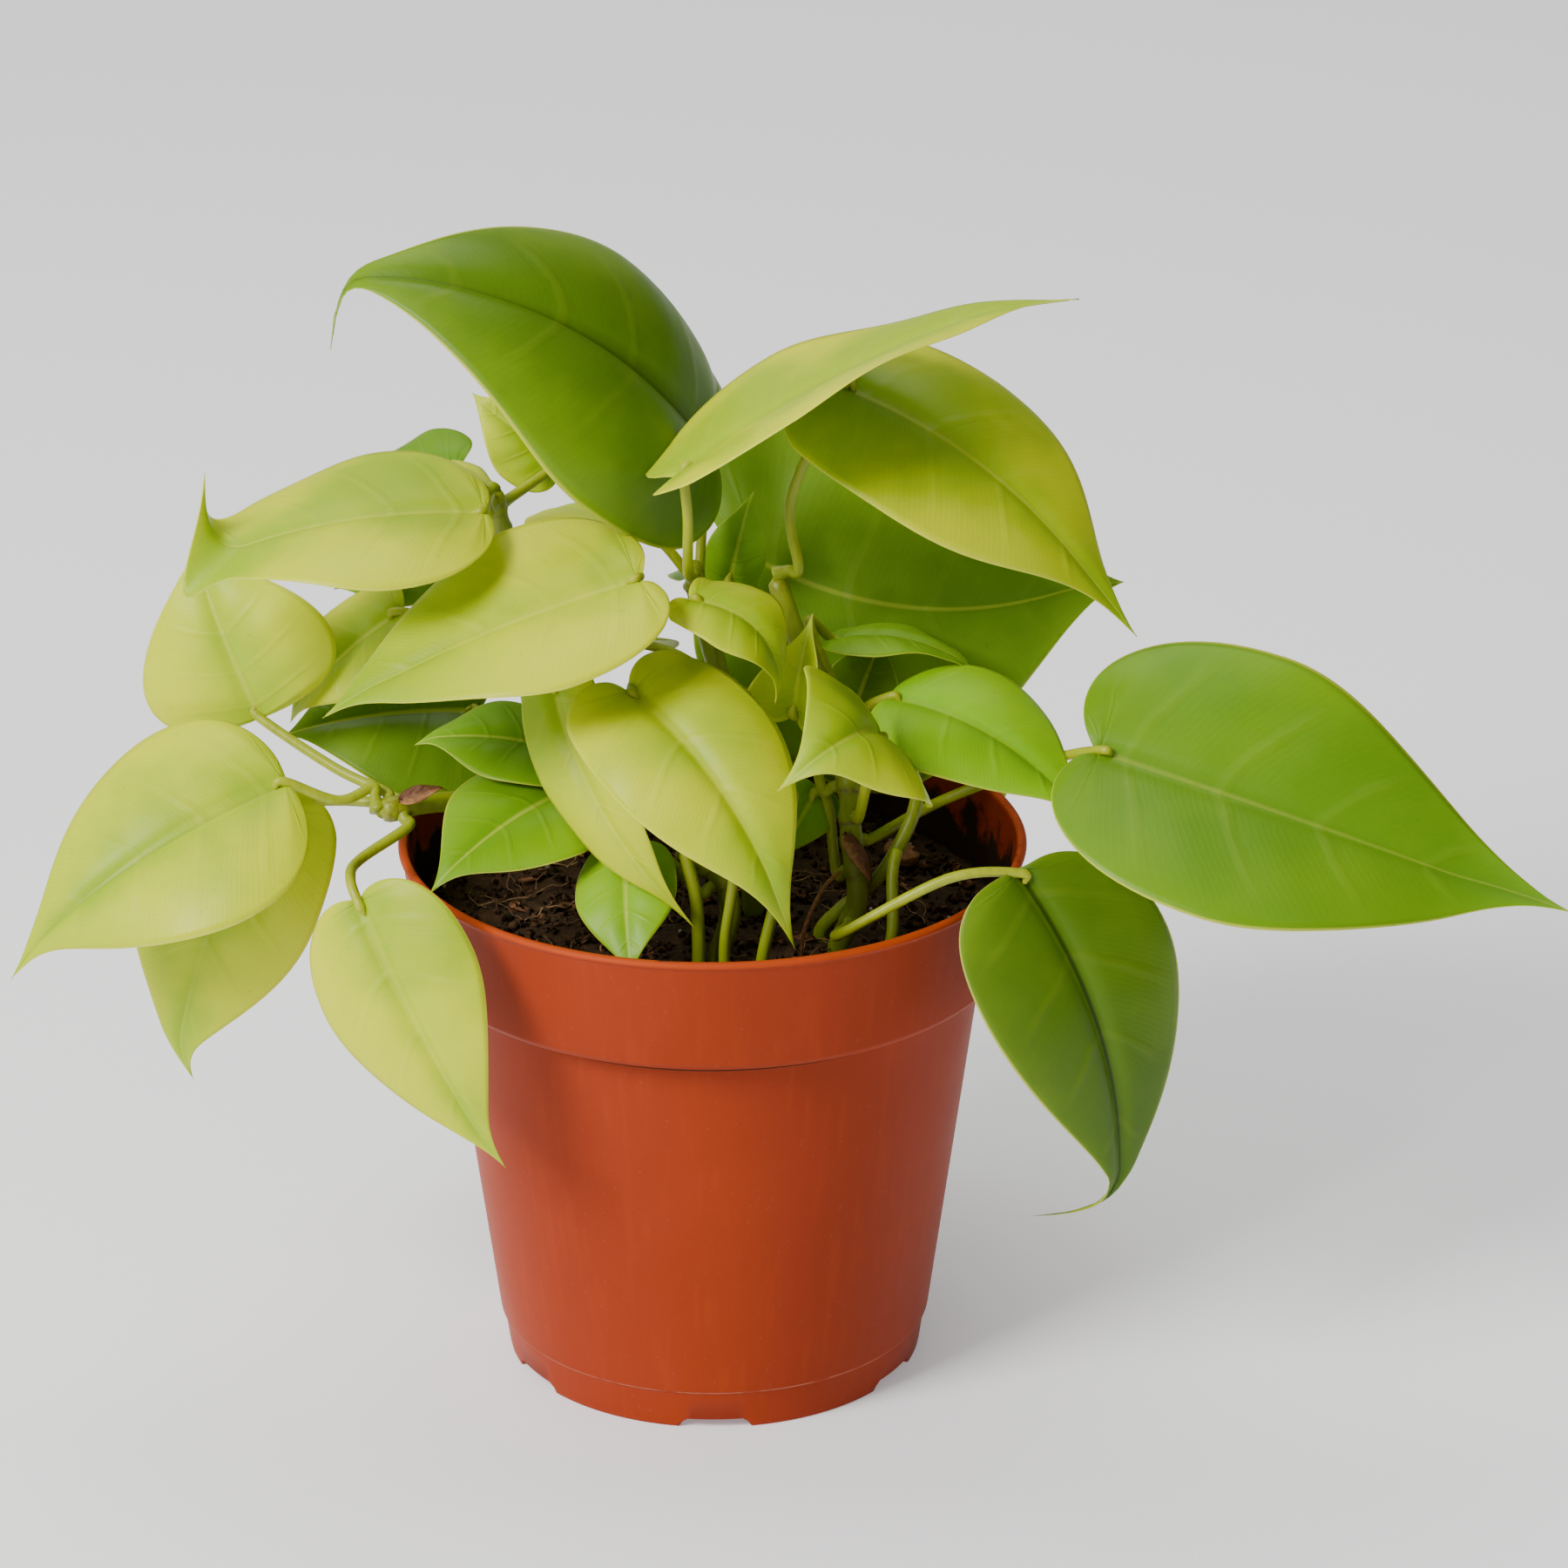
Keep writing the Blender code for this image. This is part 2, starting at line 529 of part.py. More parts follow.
def blade_point(leaf, t, r, side):
    """Point of a blade's middle surface, in mm.

    `t` goes round the margin, `r` from the midrib to the margin, and `side` is -1 or 1.
    """
    base = np.array(leaf.base, float)
    chord = np.array(leaf.tip, float) - base
    length = np.linalg.norm(chord)
    ahead = chord / length
    face = np.array(leaf.face, float)
    face -= ahead * face.dot(ahead)
    face /= np.linalg.norm(face)
    right = np.cross(ahead, face)
    margin_out, margin_along = heart_margin(t, leaf.lobe)
    vein_root = max(0.0, (t - 0.35) / 0.65) ** 1.15
    out = side * r * margin_out * leaf.width / 2
    share = vein_root + (margin_along - vein_root) * r**1.3
    bow = 4 * share * (1 - share) if share > 0 else share
    lift = leaf.arch * length * bow
    lift += leaf.cup * out**2 / (leaf.width / 2)
    lift -= leaf.droop * length * max(0.0, 4 * share - 3) ** 2
    turn = math.radians(leaf.twist) * share
    out, lift = out * math.cos(turn) - lift * math.sin(turn), out * math.sin(turn) + lift * math.cos(turn)
    out += leaf.sweep * length * bow
    return base + ahead * share * length + right * out + face * lift


def blade_mesh(leaf):
    """Blade as a closed solid: thickest at the midrib, and thinned to an edge at the margin."""
    rows = np.linspace(0, 1, LEAF_ROWS + 1)
    columns = np.linspace(0, 1, LEAF_COLUMNS + 1)
    keys = [(t, r, side) for side in (-1, 1) for t in rows for r in columns]
    middle = fit_to_pot(np.array([blade_point(leaf, *key) for key in keys]) * MM)
    per_side = len(rows) * len(columns)
    quads = []
    for half in (0, 1):
        for i in range(LEAF_ROWS):
            for j in range(LEAF_COLUMNS):
                a = half * per_side + i * len(columns) + j
                quad = [a, a + len(columns), a + len(columns) + 1, a + 1]
                quads.append(quad if half == 0 else quad[::-1])
    normals = np.zeros_like(middle)
    for quad in quads:
        a, b, c, d = (middle[i] for i in quad)
        area = np.cross(c - a, d - b)
        for i in quad:
            normals[i] += area
    joined = {}
    for i, point in enumerate(middle):
        joined.setdefault(tuple(np.round(point, 6)), []).append(i)
    for group in joined.values():
        normals[group] = sum(normals[i] for i in group)
    normals /= np.linalg.norm(normals, axis=1)[:, None]
    thick = np.array([0.0 if r == 1 or t in (0, 1) and r > 0 else 1.0 - 0.35 * r for t, r, _ in keys])
    thick[[i for i, (t, r, _) in enumerate(keys) if t == 1]] = 0.0
    offset = normals * (thick * LEAF_THICKNESS / 2)[:, None]
    points = [*(middle + offset), *(middle - offset)]
    count = len(middle)
    faces = quads + [[i + count for i in reversed(quad)] for quad in quads]
    return welded_solid(leaf.name, points, faces)


def welded_solid(name, points, faces):
    """Mesh of a closed solid from points that may coincide: each face keeps only its distinct corners."""
    index = {}
    order = []
    merged = []
    for point in points:
        key = tuple(np.round(point, 7))
        if key not in index:
            index[key] = len(merged)
            merged.append(point)
        order.append(index[key])
    made = bmesh.new()
    verts = [made.verts.new(point) for point in merged]
    used = set()
    for face in faces:
        corners = []
        for i in face:
            if order[i] not in corners:
                corners.append(order[i])
        if len(corners) < 3 or frozenset(corners) in used:
            continue
        used.add(frozenset(corners))
        made.faces.new([verts[i] for i in corners])
    bmesh.ops.triangulate(made, faces=made.faces)
    bmesh.ops.recalc_face_normals(made, faces=made.faces)
    data = bpy.data.meshes.new(name)
    made.to_mesh(data)
    made.free()
    return data


def stalk_route(leaf, stem_line):
    """Route of a leaf's stalk in metres, from beside its stem into the notch of its blade."""
    via = fit_to_pot(np.array([*leaf.via, leaf.base], float) * MM)
    start, out = stalk_start(stem_line, leaf.at, via[0])
    inner = fit_to_pot(np.array([blade_point(leaf, 0.6, 0.0, 1)]) * MM)[0]
    into = via[-1] + (inner - via[-1]) / np.linalg.norm(inner - via[-1]) * 1.5 * MM
    return smooth_route([start, start + out * 2 * MM, *via, into], 2)


def build_leaf(leaf, stem_line, finish):
    """Leaf as one solid: the blade joined to its stalk by a Boolean union."""
    obj = add_object(leaf.name, blade_mesh(leaf), finish)
    name = leaf.name + "_stalk"
    tube = tube_mesh(name, stalk_route(leaf, stem_line), STALK_RADIUS, STALK_SIDES)
    stalk = bpy.data.objects.new(name, tube)
    bpy.context.scene.collection.objects.link(stalk)
    stalk.hide_render = True
    stalk.display_type = "WIRE"
    joint = obj.modifiers.new("stalk", "BOOLEAN")
    joint.operation = "UNION"
    joint.solver = "MANIFOLD"
    joint.object = stalk
    return obj


def build_sheath(sheath, finish):
    """Dry sheath: a thin curled blade beside its stem."""
    return add_object(sheath.name, blade_mesh(sheath), finish)


def build_chip(chip, finish):
    """Bark chip: a flat block with broken corners, lying on the soil clear of it by GAP."""
    made = bmesh.new()
    bmesh.ops.create_cube(made, size=1.0)
    for vertex in made.verts:
        vertex.co.x *= 1.0 - 0.3 * (vertex.co.y > 0)
        vertex.co.y += 0.15 * vertex.co.x
    bmesh.ops.scale(made, vec=[side * MM for side in chip.size], verts=made.verts)
    bmesh.ops.bevel(made, geom=made.edges[:], offset=0.3 * MM, segments=1, affect="EDGES")
    data = bpy.data.meshes.new(chip.name)
    made.to_mesh(data)
    made.free()
    obj = add_object(chip.name, data, finish)
    x, y, _ = fit_to_pot(np.array([*chip.place, 0.0]) * MM)
    lift = chip.size[2] * MM / 2 + GAP
    obj.location = (x, y, POT_HEIGHT - SOIL_BELOW_RIM + SOIL_CROWN + lift)
    obj.rotation_euler[2] = math.radians(chip.turn)
    return obj


def stand_on_origin():
    """Moves every object so that the middle of the whole plant is over the origin, its foot at z=0."""
    bpy.context.view_layer.update()
    graph = bpy.context.evaluated_depsgraph_get()
    corners = []
    for obj in bpy.data.objects:
        if obj.hide_render or obj.type != "MESH":
            continue
        evaluated = obj.evaluated_get(graph)
        data = evaluated.to_mesh()
        corners += [obj.matrix_world @ vertex.co for vertex in data.vertices]
        evaluated.to_mesh_clear()
    corners = np.array(corners)
    middle = (corners.min(axis=0) + corners.max(axis=0)) / 2
    for obj in bpy.data.objects:
        obj.location -= Vector((middle[0], middle[1], 0.0))


def main():
    """Builds the pot, the soil and the plant."""
    for obj in list(bpy.data.objects):
        bpy.data.objects.remove(obj, do_unlink=True)
    build_pot()
    build_soil()
    stem_finish = material("stem", (0.30, 0.42, 0.04), 0.45)
    lines = {}
    for stem in STEMS + SHOOTS:
        build_stem(stem, stem_finish)
        lines[stem.name] = stem_route(stem)
    for leaf in LEAVES:
        finish = material(leaf.name + "_" + leaf.tone, TONES[leaf.tone], 0.4)
        build_leaf(leaf, lines[leaf.stem], finish)
    dry_finish = material("dry_sheath", (0.20, 0.08, 0.03), 0.8)
    for sheath in SHEATHS:
        build_sheath(sheath, dry_finish)
    for root in ROOTS:
        tube = tube_mesh(root.name, stem_route(root), root.radius * MM, STALK_SIDES)
        add_object(root.name, tube, dry_finish)
    bark_finish = material("bark", (0.16, 0.08, 0.04), 0.9)
    for chip in CHIPS:
        build_chip(chip, bark_finish)
    stand_on_origin()


main()
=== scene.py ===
"""Looks of a heartleaf philodendron growing in a plastic nursery pot.

The pot, the soil, every organ of the plant and the studio is a class that builds its own meshes and dresses
them with a procedural finish. Plans are in millimetres, with the pot's axis at x = y = 0 and the surface
that the pot stands on at z = 0. Meshes are in metres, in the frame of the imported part.
"""

import logging
import math
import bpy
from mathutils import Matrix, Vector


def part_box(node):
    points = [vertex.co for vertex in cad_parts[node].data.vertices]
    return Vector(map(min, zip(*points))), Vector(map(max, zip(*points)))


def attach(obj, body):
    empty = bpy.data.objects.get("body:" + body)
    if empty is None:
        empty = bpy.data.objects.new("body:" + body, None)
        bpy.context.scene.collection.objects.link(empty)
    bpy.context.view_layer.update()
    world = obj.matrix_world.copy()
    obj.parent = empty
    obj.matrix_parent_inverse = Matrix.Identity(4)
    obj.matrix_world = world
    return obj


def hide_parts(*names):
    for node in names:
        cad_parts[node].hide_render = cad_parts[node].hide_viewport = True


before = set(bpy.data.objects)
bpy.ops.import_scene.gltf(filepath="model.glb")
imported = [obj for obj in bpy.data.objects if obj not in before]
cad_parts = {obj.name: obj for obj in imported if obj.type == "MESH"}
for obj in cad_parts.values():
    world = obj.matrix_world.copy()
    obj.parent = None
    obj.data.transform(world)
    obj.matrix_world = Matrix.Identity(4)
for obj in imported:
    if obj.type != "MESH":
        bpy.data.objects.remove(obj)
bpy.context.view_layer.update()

import zlib
from dataclasses import dataclass, field
from enum import Enum, IntEnum
from typing import Callable, ClassVar

import bmesh
import bpy
import numpy as np
from mathutils import Matrix, Vector, noise

LOG = logging.getLogger("philodendron")
MM = 0.001
Triple = tuple[float, float, float]
Color = tuple[float, float, float]


def pot_axis() -> Vector:
    """Returns the place where the pot's axis meets the floor, in metres."""
    low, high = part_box("pot")
    return Vector(((low.x + high.x) / 2, (low.y + high.y) / 2, 0.0))


AXIS = pot_axis()


class Tone(Enum):
    """Age of a leaf, which sets its colours."""

    YOUNG = "young"
    MIDDLE = "middle"
    OLD = "old"


class Slot(Enum):
    """Material slots of the record."""

    POT = "pot"
    SOIL = "soil"
    BARK = "bark"
    DRY = "dry_tissue"
    STEM = "stem"


class LeafSkin(IntEnum):
    """Order of a leaf's finishes."""

    UPPER = 0
    LOWER = 1
    STALK = 2


class SoilSkin(IntEnum):
    """Order of the soil's finishes."""

    BED = 0
    FLAKE = 1
    FIBRE = 2
    GRAIN = 3


# ------------------------------------------------------------------ planting plan


@dataclass(frozen=True)
class StemPlan:
    """Course of a stem or root.

    Args:
        name: Name of the piece.
        root: Where it meets the soil (x, y).
        route: Points (x, y, z) that it passes above the soil.
        radius: Its radius.
    """

    name: str
    root: tuple[float, float]
    route: tuple[Triple, ...]
    radius: float = 1.9


@dataclass(frozen=True)
class LeafPlan:
    """Place and shape of a leaf and its stalk.

    Args:
        name: Name of the piece.
        stem: Stem that it grows on.
        at: Share of the stem's length where the stalk leaves it.
        via: Points that the stalk passes.
        base: Notch of the heart, where the stalk ends.
        tip: Point of the leaf.
        width: Widest distance across.
        face: Direction that the upper surface looks to.
        tone: Age.
        arch: Bow of the midrib towards the face, as a share of the length.
        cup: Rise of the margins towards the face, as a share of half the width.
        sweep: Sideways bow of the midrib, as a share of the length.
        droop: Fall of the last quarter, as a share of the length.
        lobe: How far the lobes reach behind the notch, as a share of the length.
    """

    name: str
    stem: str
    at: float
    via: tuple[Triple, ...]
    base: Triple
    tip: Triple
    width: float
    face: Triple
    tone: Tone = Tone.YOUNG
    arch: float = 0.08
    cup: float = -0.1
    sweep: float = 0.0
    droop: float = 0.0
    lobe: float = 0.10


@dataclass(frozen=True)
class ChipPlan:
    """Chip of bark on the soil.

    Args:
        name: Name of the piece.
        place: Its middle (x, y).
        turn: Direction of its length, in degrees.
        size: Length, width and height.
    """

    name: str
    place: tuple[float, float]
    turn: float
    size: Triple


@dataclass(frozen=True)
class LeafDetail:
    """Fine shape and colour of one leaf, beyond its plan.

    Args:
        crease: Depth of the fold along the midrib, in mm.
        puff: Bulge of each half, as a share of half the width.
        wave: Height of the waves of the margin, in mm.
        hook: Curl of the point of the tip: mm towards the face, sideways and onwards.
        rib: Brightness of the midrib against the blade: below 0 it is darker, a painted shade of the fold
            along the midrib.
        green: How much greener than its tone the leaf is, 0 to 1.
        tip_green: How much greener its front half is, 0 to 1.
        veins: How strongly the side veins show, against the usual for its tone.
        hook_from: Share of the length where the curl of the point starts.
        bright: Brightness of its colours against those of its tone.
        curl: Shift of the very point, in mm along X, Y and Z.
        corner: Drop of the left margin just before the tip, in mm.
        skin: Tone whose finish it wears, where that isn't its own.
    """

    crease: float = 0.7
    puff: float = 0.06
    wave: float = 0.5
    hook: Triple = (-1.5, 0.6, 0.0)
    rib: float = 0.35
    green: float = 0.0
    tip_green: float = 0.15
    veins: float = 1.0
    hook_from: float = 0.82
    bright: float = 1.0
    curl: Triple = (0.0, 0.0, 0.0)
    corner: float = 0.0
    skin: Tone | None = None


STEMS: tuple[StemPlan, ...] = (
    StemPlan("stem_right", (22, -22),
         ((25, -22, 95), (24, -18, 106), (23, -12, 116), (17, -2, 130), (11, 3, 146))),
    StemPlan("stem_left", (-12, 4), ((-22, 0, 98), (-33, -5, 106), (-46, -10, 109), (-58, -14, 109))),
    StemPlan("stem_center", (1, -27), ((3, -26, 95), (1, -24, 101), (-5, -21, 103))),
    StemPlan("stem_tall", (7, -6), ((6, -4, 100), (3, 2, 120), (-2, 4, 140), (-3, 4, 147))),
    StemPlan("stem_upper_left", (-16, 14), ((-24, 16, 104), (-31, 13, 128), (-36, 9, 150), (-38, 8, 160))),
    StemPlan("stem_back", (8, 24), ((10, 30, 104), (9, 33, 118), (4, 34, 130))),
)

SHOOTS: tuple[StemPlan, ...] = (
    StemPlan("shoot_front_left", (-2.5, -34), ((-2.5, -34, 93), (-3, -33, 101), (-5, -31, 109)), 1.2),
    StemPlan("shoot_front_middle", (2, -37), ((2, -37, 94), (3, -36, 101), (4, -34, 108)), 1.0),
    StemPlan("shoot_front_right", (8, -35), ((9, -35, 93), (11, -33, 101), (13, -28, 111), (14, -24, 117)),
         1.1),
    StemPlan("shoot_right_bow", (19, -16), ((22, -17, 91), (29, -18, 98), (34, -15, 106), (36, -11, 111)),
         1.3),
    StemPlan("shoot_right_inner", (30, -30), ((31, -29, 93), (31, -25, 101), (32, -22, 105)), 1.1),
)

LEAVES: tuple[LeafPlan, ...] = (
    # Crown
    LeafPlan("leaf_top_left", "stem_tall", 0.85, ((-2, 12, 145),), (-0.8, 18.7, 164.9), (-65.9, 3.6, 202.4),
         56, (-0.2, -0.49, 0.85), tone=Tone.OLD, arch=0.18, cup=-0.27, sweep=-0.01, droop=0.05, lobe=0.07),
    LeafPlan("leaf_top_right", "stem_tall", 1, ((-4, -10, 152), (-4, -14, 163)), (-4.6, -13.7, 171.6),
         (58.6, -4.2, 200.4), 46, (-0.43, 0.09, 0.9), arch=0.05, cup=0.11, sweep=0.01, droop=0.02,
         lobe=0.09),
    LeafPlan("leaf_upper_right", "stem_right", 1, ((14, 5, 160),), (23.1, 5.4, 180), (70.7, -11.3, 141.8),
         44, (0.35, -0.45, 0.82), arch=0.13, cup=-0.11, sweep=0.01, droop=-0.02, lobe=0.09),
    LeafPlan("leaf_back_right", "stem_back", 1, ((7, 34, 138),), (7.3, 29.5, 139.3), (73.4, 25.7, 138.5), 68,
         (0.1, -0.88, 0.46), tone=Tone.OLD, arch=0.03, sweep=0.13, droop=-0.02, lobe=0.14),
    LeafPlan("leaf_behind_crown", "stem_upper_left", 0.9, ((-32, 16, 158),), (-27, 22, 160), (-42, 24, 172),
         16, (-0.3, -0.7, 0.6)),
    LeafPlan("leaf_behind_left", "stem_upper_left", 1, ((-41, 18, 160),), (-45, 24, 159), (-63, 30, 153), 20,
         (0, -0.4, 0.9), tone=Tone.MIDDLE),
    # Right side
    LeafPlan("leaf_right_lens", "stem_right", 0.72, ((17, 6, 136),), (21, 8, 132), (47, 2, 128), 20,
         (0.1, 0.1, 1), tone=Tone.MIDDLE, arch=0.12, lobe=0.05),
    LeafPlan("leaf_far_right", "stem_right", 0.38, ((40, -6, 107), (58, -12, 117)), (66.6, -23.2, 123.6),
         (143.5, -38.8, 100), 57, (0.05, -0.52, 0.85), tone=Tone.MIDDLE, arch=0.05, cup=0.12, sweep=0.03,
         droop=-0.07, lobe=0.07),
    LeafPlan("leaf_rim_right", "stem_right", 0.12, ((22, -38, 96), (40, -40, 107)), (52.4, -38.4, 107.3),
         (70.2, -41.6, 44.6), 39, (0.44, -0.84, 0.31), tone=Tone.OLD, cup=-0.07, sweep=-0.06, lobe=0.02),
    LeafPlan("leaf_middle_right", "stem_right", 0.55, ((25, -5, 122),), (31, -6.8, 127.1),
         (64.7, -25.1, 111), 33, (0.07, -0.26, 0.96), tone=Tone.MIDDLE, arch=0.13, cup=-0.09, lobe=0.02),
    LeafPlan("leaf_behind_middle_right", "stem_right", 0.6, ((22, 4, 119),), (25, 8, 119), (30, 14, 130), 13,
         (0, -0.9, 0.4), tone=Tone.OLD),
    # Middle
    LeafPlan("leaf_front", "stem_center", 1, ((-10, -18, 122), (-13, -20, 134)), (-13.7, -26.1, 136.1),
         (13.3, -50.8, 101.2), 32, (0.2, -0.73, 0.66), arch=0.16, cup=-0.12, sweep=-0.02, droop=0.07,
         lobe=0.09),
    LeafPlan("leaf_twisted", "stem_center", 0.9, ((-14, -12, 118), (-21, -11, 130)), (-27.6, -17.9, 134.4),
         (-4.6, -40, 99.9), 18, (-0.6, -0.75, 0.27), cup=-0.09, sweep=0.04, droop=0.02),
    LeafPlan("leaf_folded", "stem_right", 0.55, ((17, -8, 122),), (14, -10, 125), (17, -12, 143), 13,
         (-0.3, -0.9, 0.1), cup=1.2),
    LeafPlan("leaf_front_bent", "stem_right", 0.45, ((27, -22, 119),), (29.2, -26.6, 127.3),
         (13.2, -50.3, 130.3), 32, (0.54, -0.32, 0.78), arch=0.23, cup=-0.09, sweep=0.01, droop=0.08,
         lobe=0.12),
    LeafPlan("leaf_strap", "stem_tall", 0.85, ((-2, -12, 143),), (-3, -16, 149), (12, -22, 133), 18,
         (0.5, -0.5, 0.8), arch=0.3),
    LeafPlan("leaf_inner_right", "stem_right", 0.3, ((20, -13, 110),), (18, -11, 111), (12, -17, 101), 11,
         (-0.3, -0.9, 0.3), tone=Tone.MIDDLE),
    LeafPlan("leaf_inner_back", "stem_tall", 0.75, ((4, 14, 134),), (3, 20, 138), (7, 20, 155), 11,
         (0, -0.9, 0.3), tone=Tone.MIDDLE),
    # Left side
    LeafPlan("leaf_left_center", "stem_upper_left", 0.7, ((-20, -2, 148), (-13, -10, 151)),
         (-12.7, -17.4, 153.4), (-65.6, -29.5, 133.9), 42, (-0.11, -0.34, 0.93), arch=0.06, cup=0.03,
         sweep=-0.02, droop=-0.03, lobe=0.06),
    LeafPlan("leaf_left_upper", "stem_upper_left", 0.95, ((-39, 2, 160),), (-39.1, -4.3, 160.9),
         (-95.6, -8.6, 149.4), 43, (-0.1, -0.2, 0.97), arch=0.11, cup=-0.06, sweep=-0.05, droop=0.06,
         lobe=0.03),
    LeafPlan("leaf_left_round", "stem_left", 0.95, ((-66, -4, 113),), (-79.3, 2.7, 119.8),
         (-91, 14.3, 148.2), 36, (-0.27, -0.84, 0.47), arch=0.09, cup=-0.13, droop=0.02, lobe=0.01),
    LeafPlan("leaf_left_low", "stem_left", 1, ((-65, -14, 111),), (-74.1, -14.1, 114.6),
         (-121.4, -22.9, 84.5), 44, (-0.36, -0.6, 0.71), arch=0.1, cup=-0.03, sweep=-0.01, droop=0.01,
         lobe=0.02),
    LeafPlan("leaf_left_bottom", "stem_left", 0.98, ((-66, -7, 108),), (-78.6, -4.9, 106.5),
         (-95.8, -8.1, 55.7), 35, (-0.28, -0.89, 0.35), arch=0.09, cup=-0.11, sweep=0.01, droop=0.02,
         lobe=0.09),
    LeafPlan("leaf_rim_left", "stem_left", 0.92, ((-61, -24, 104), (-62, -34, 105)), (-60.5, -38.1, 102.2),
         (-37.2, -54.9, 60.9), 31, (-0.47, -0.81, 0.35), arch=0.05, lobe=0.04),
    LeafPlan("leaf_over_rim", "stem_center", 0.8, ((-14, -12, 110),), (-25, -14, 113), (-48, -36, 104), 28,
         (-0.3, -0.6, 0.75), tone=Tone.MIDDLE),
    LeafPlan("leaf_inside_rim", "stem_center", 0.6, ((-8, -24, 104),), (-15, -27, 106), (-14, -45, 91), 18,
         (-0.2, -0.85, 0.5), tone=Tone.MIDDLE),
    LeafPlan("leaf_small_left", "stem_left", 0.3, ((-20, -6, 114),), (-26, -8, 118), (-52, -6, 119), 22,
         (-0.1, -0.3, 0.95), tone=Tone.MIDDLE),
    LeafPlan("leaf_left_shade", "stem_left", 0.5, ((-38, 6, 112),), (-42, 20, 114), (-76, 14, 112), 36,
         (0, -0.6, 0.8), tone=Tone.OLD),
    LeafPlan("leaf_left_inner", "stem_upper_left", 0.6, ((-44, 12, 134),), (-55, 12, 136), (-75, 8, 117), 22,
         (-0.5, -0.5, 0.6), tone=Tone.MIDDLE),
    LeafPlan("leaf_left_hidden", "stem_upper_left", 0.8, ((-43, 18, 146),), (-46, 24, 146), (-68, 28, 134),
         22, (0, -0.6, 0.7), tone=Tone.OLD),
    # Back
    LeafPlan("leaf_back_left", "stem_back", 0.5, ((-6, 36, 118),), (-16, 38, 120), (-58, 58, 104), 42,
         (-0.2, 0.45, 0.85), arch=0.12),
    LeafPlan("leaf_back_middle", "stem_back", 0.7, ((12, 42, 126),), (14, 48, 128), (20, 92, 98), 48,
         (0.1, 0.5, 0.85), tone=Tone.MIDDLE, arch=0.12),
    LeafPlan("leaf_back_low", "stem_back", 0.3, ((24, 42, 108), (32, 56, 108)), (34, 60, 106), (44, 74, 52),
         40, (0.2, 0.9, 0.3), tone=Tone.OLD, lobe=0.15),
    LeafPlan("leaf_back_high", "stem_back", 0.9, ((-8, 38, 138),), (-14, 42, 140), (-32, 66, 134), 30,
         (-0.2, 0.3, 0.9)),
)

SHEATHS: tuple[LeafPlan, ...] = (
    LeafPlan("dry_sheath_right", "stem_right", 0.3, (), (23, -21, 107), (28, -23, 98), 3, (0.2, -0.9, 0.3),
         arch=0.15, lobe=0.02),
    LeafPlan("dry_sheath_left", "stem_left", 0.9, (), (-54, -16, 112), (-46, -15, 114), 3, (0.0, -0.8, 0.6),
         arch=0.1, lobe=0.02),
)

CHIPS: tuple[ChipPlan, ...] = (
    ChipPlan("bark_chip_front", (-27, -34), 25, (8, 4, 1.6)),
    ChipPlan("bark_chip_left", (-38, -20), 70, (6, 4, 1.4)),
    ChipPlan("bark_chip_right", (36, -22), -35, (7, 3, 1.4)),
    ChipPlan("bark_chip_back", (34, 22), 110, (9, 5, 1.8)),
)

ROOTS: tuple[StemPlan, ...] = (
    StemPlan("aerial_root", (15, -29), ((16, -28, 93), (19, -26, 99), (22, -22.6, 101)), 0.4),
)

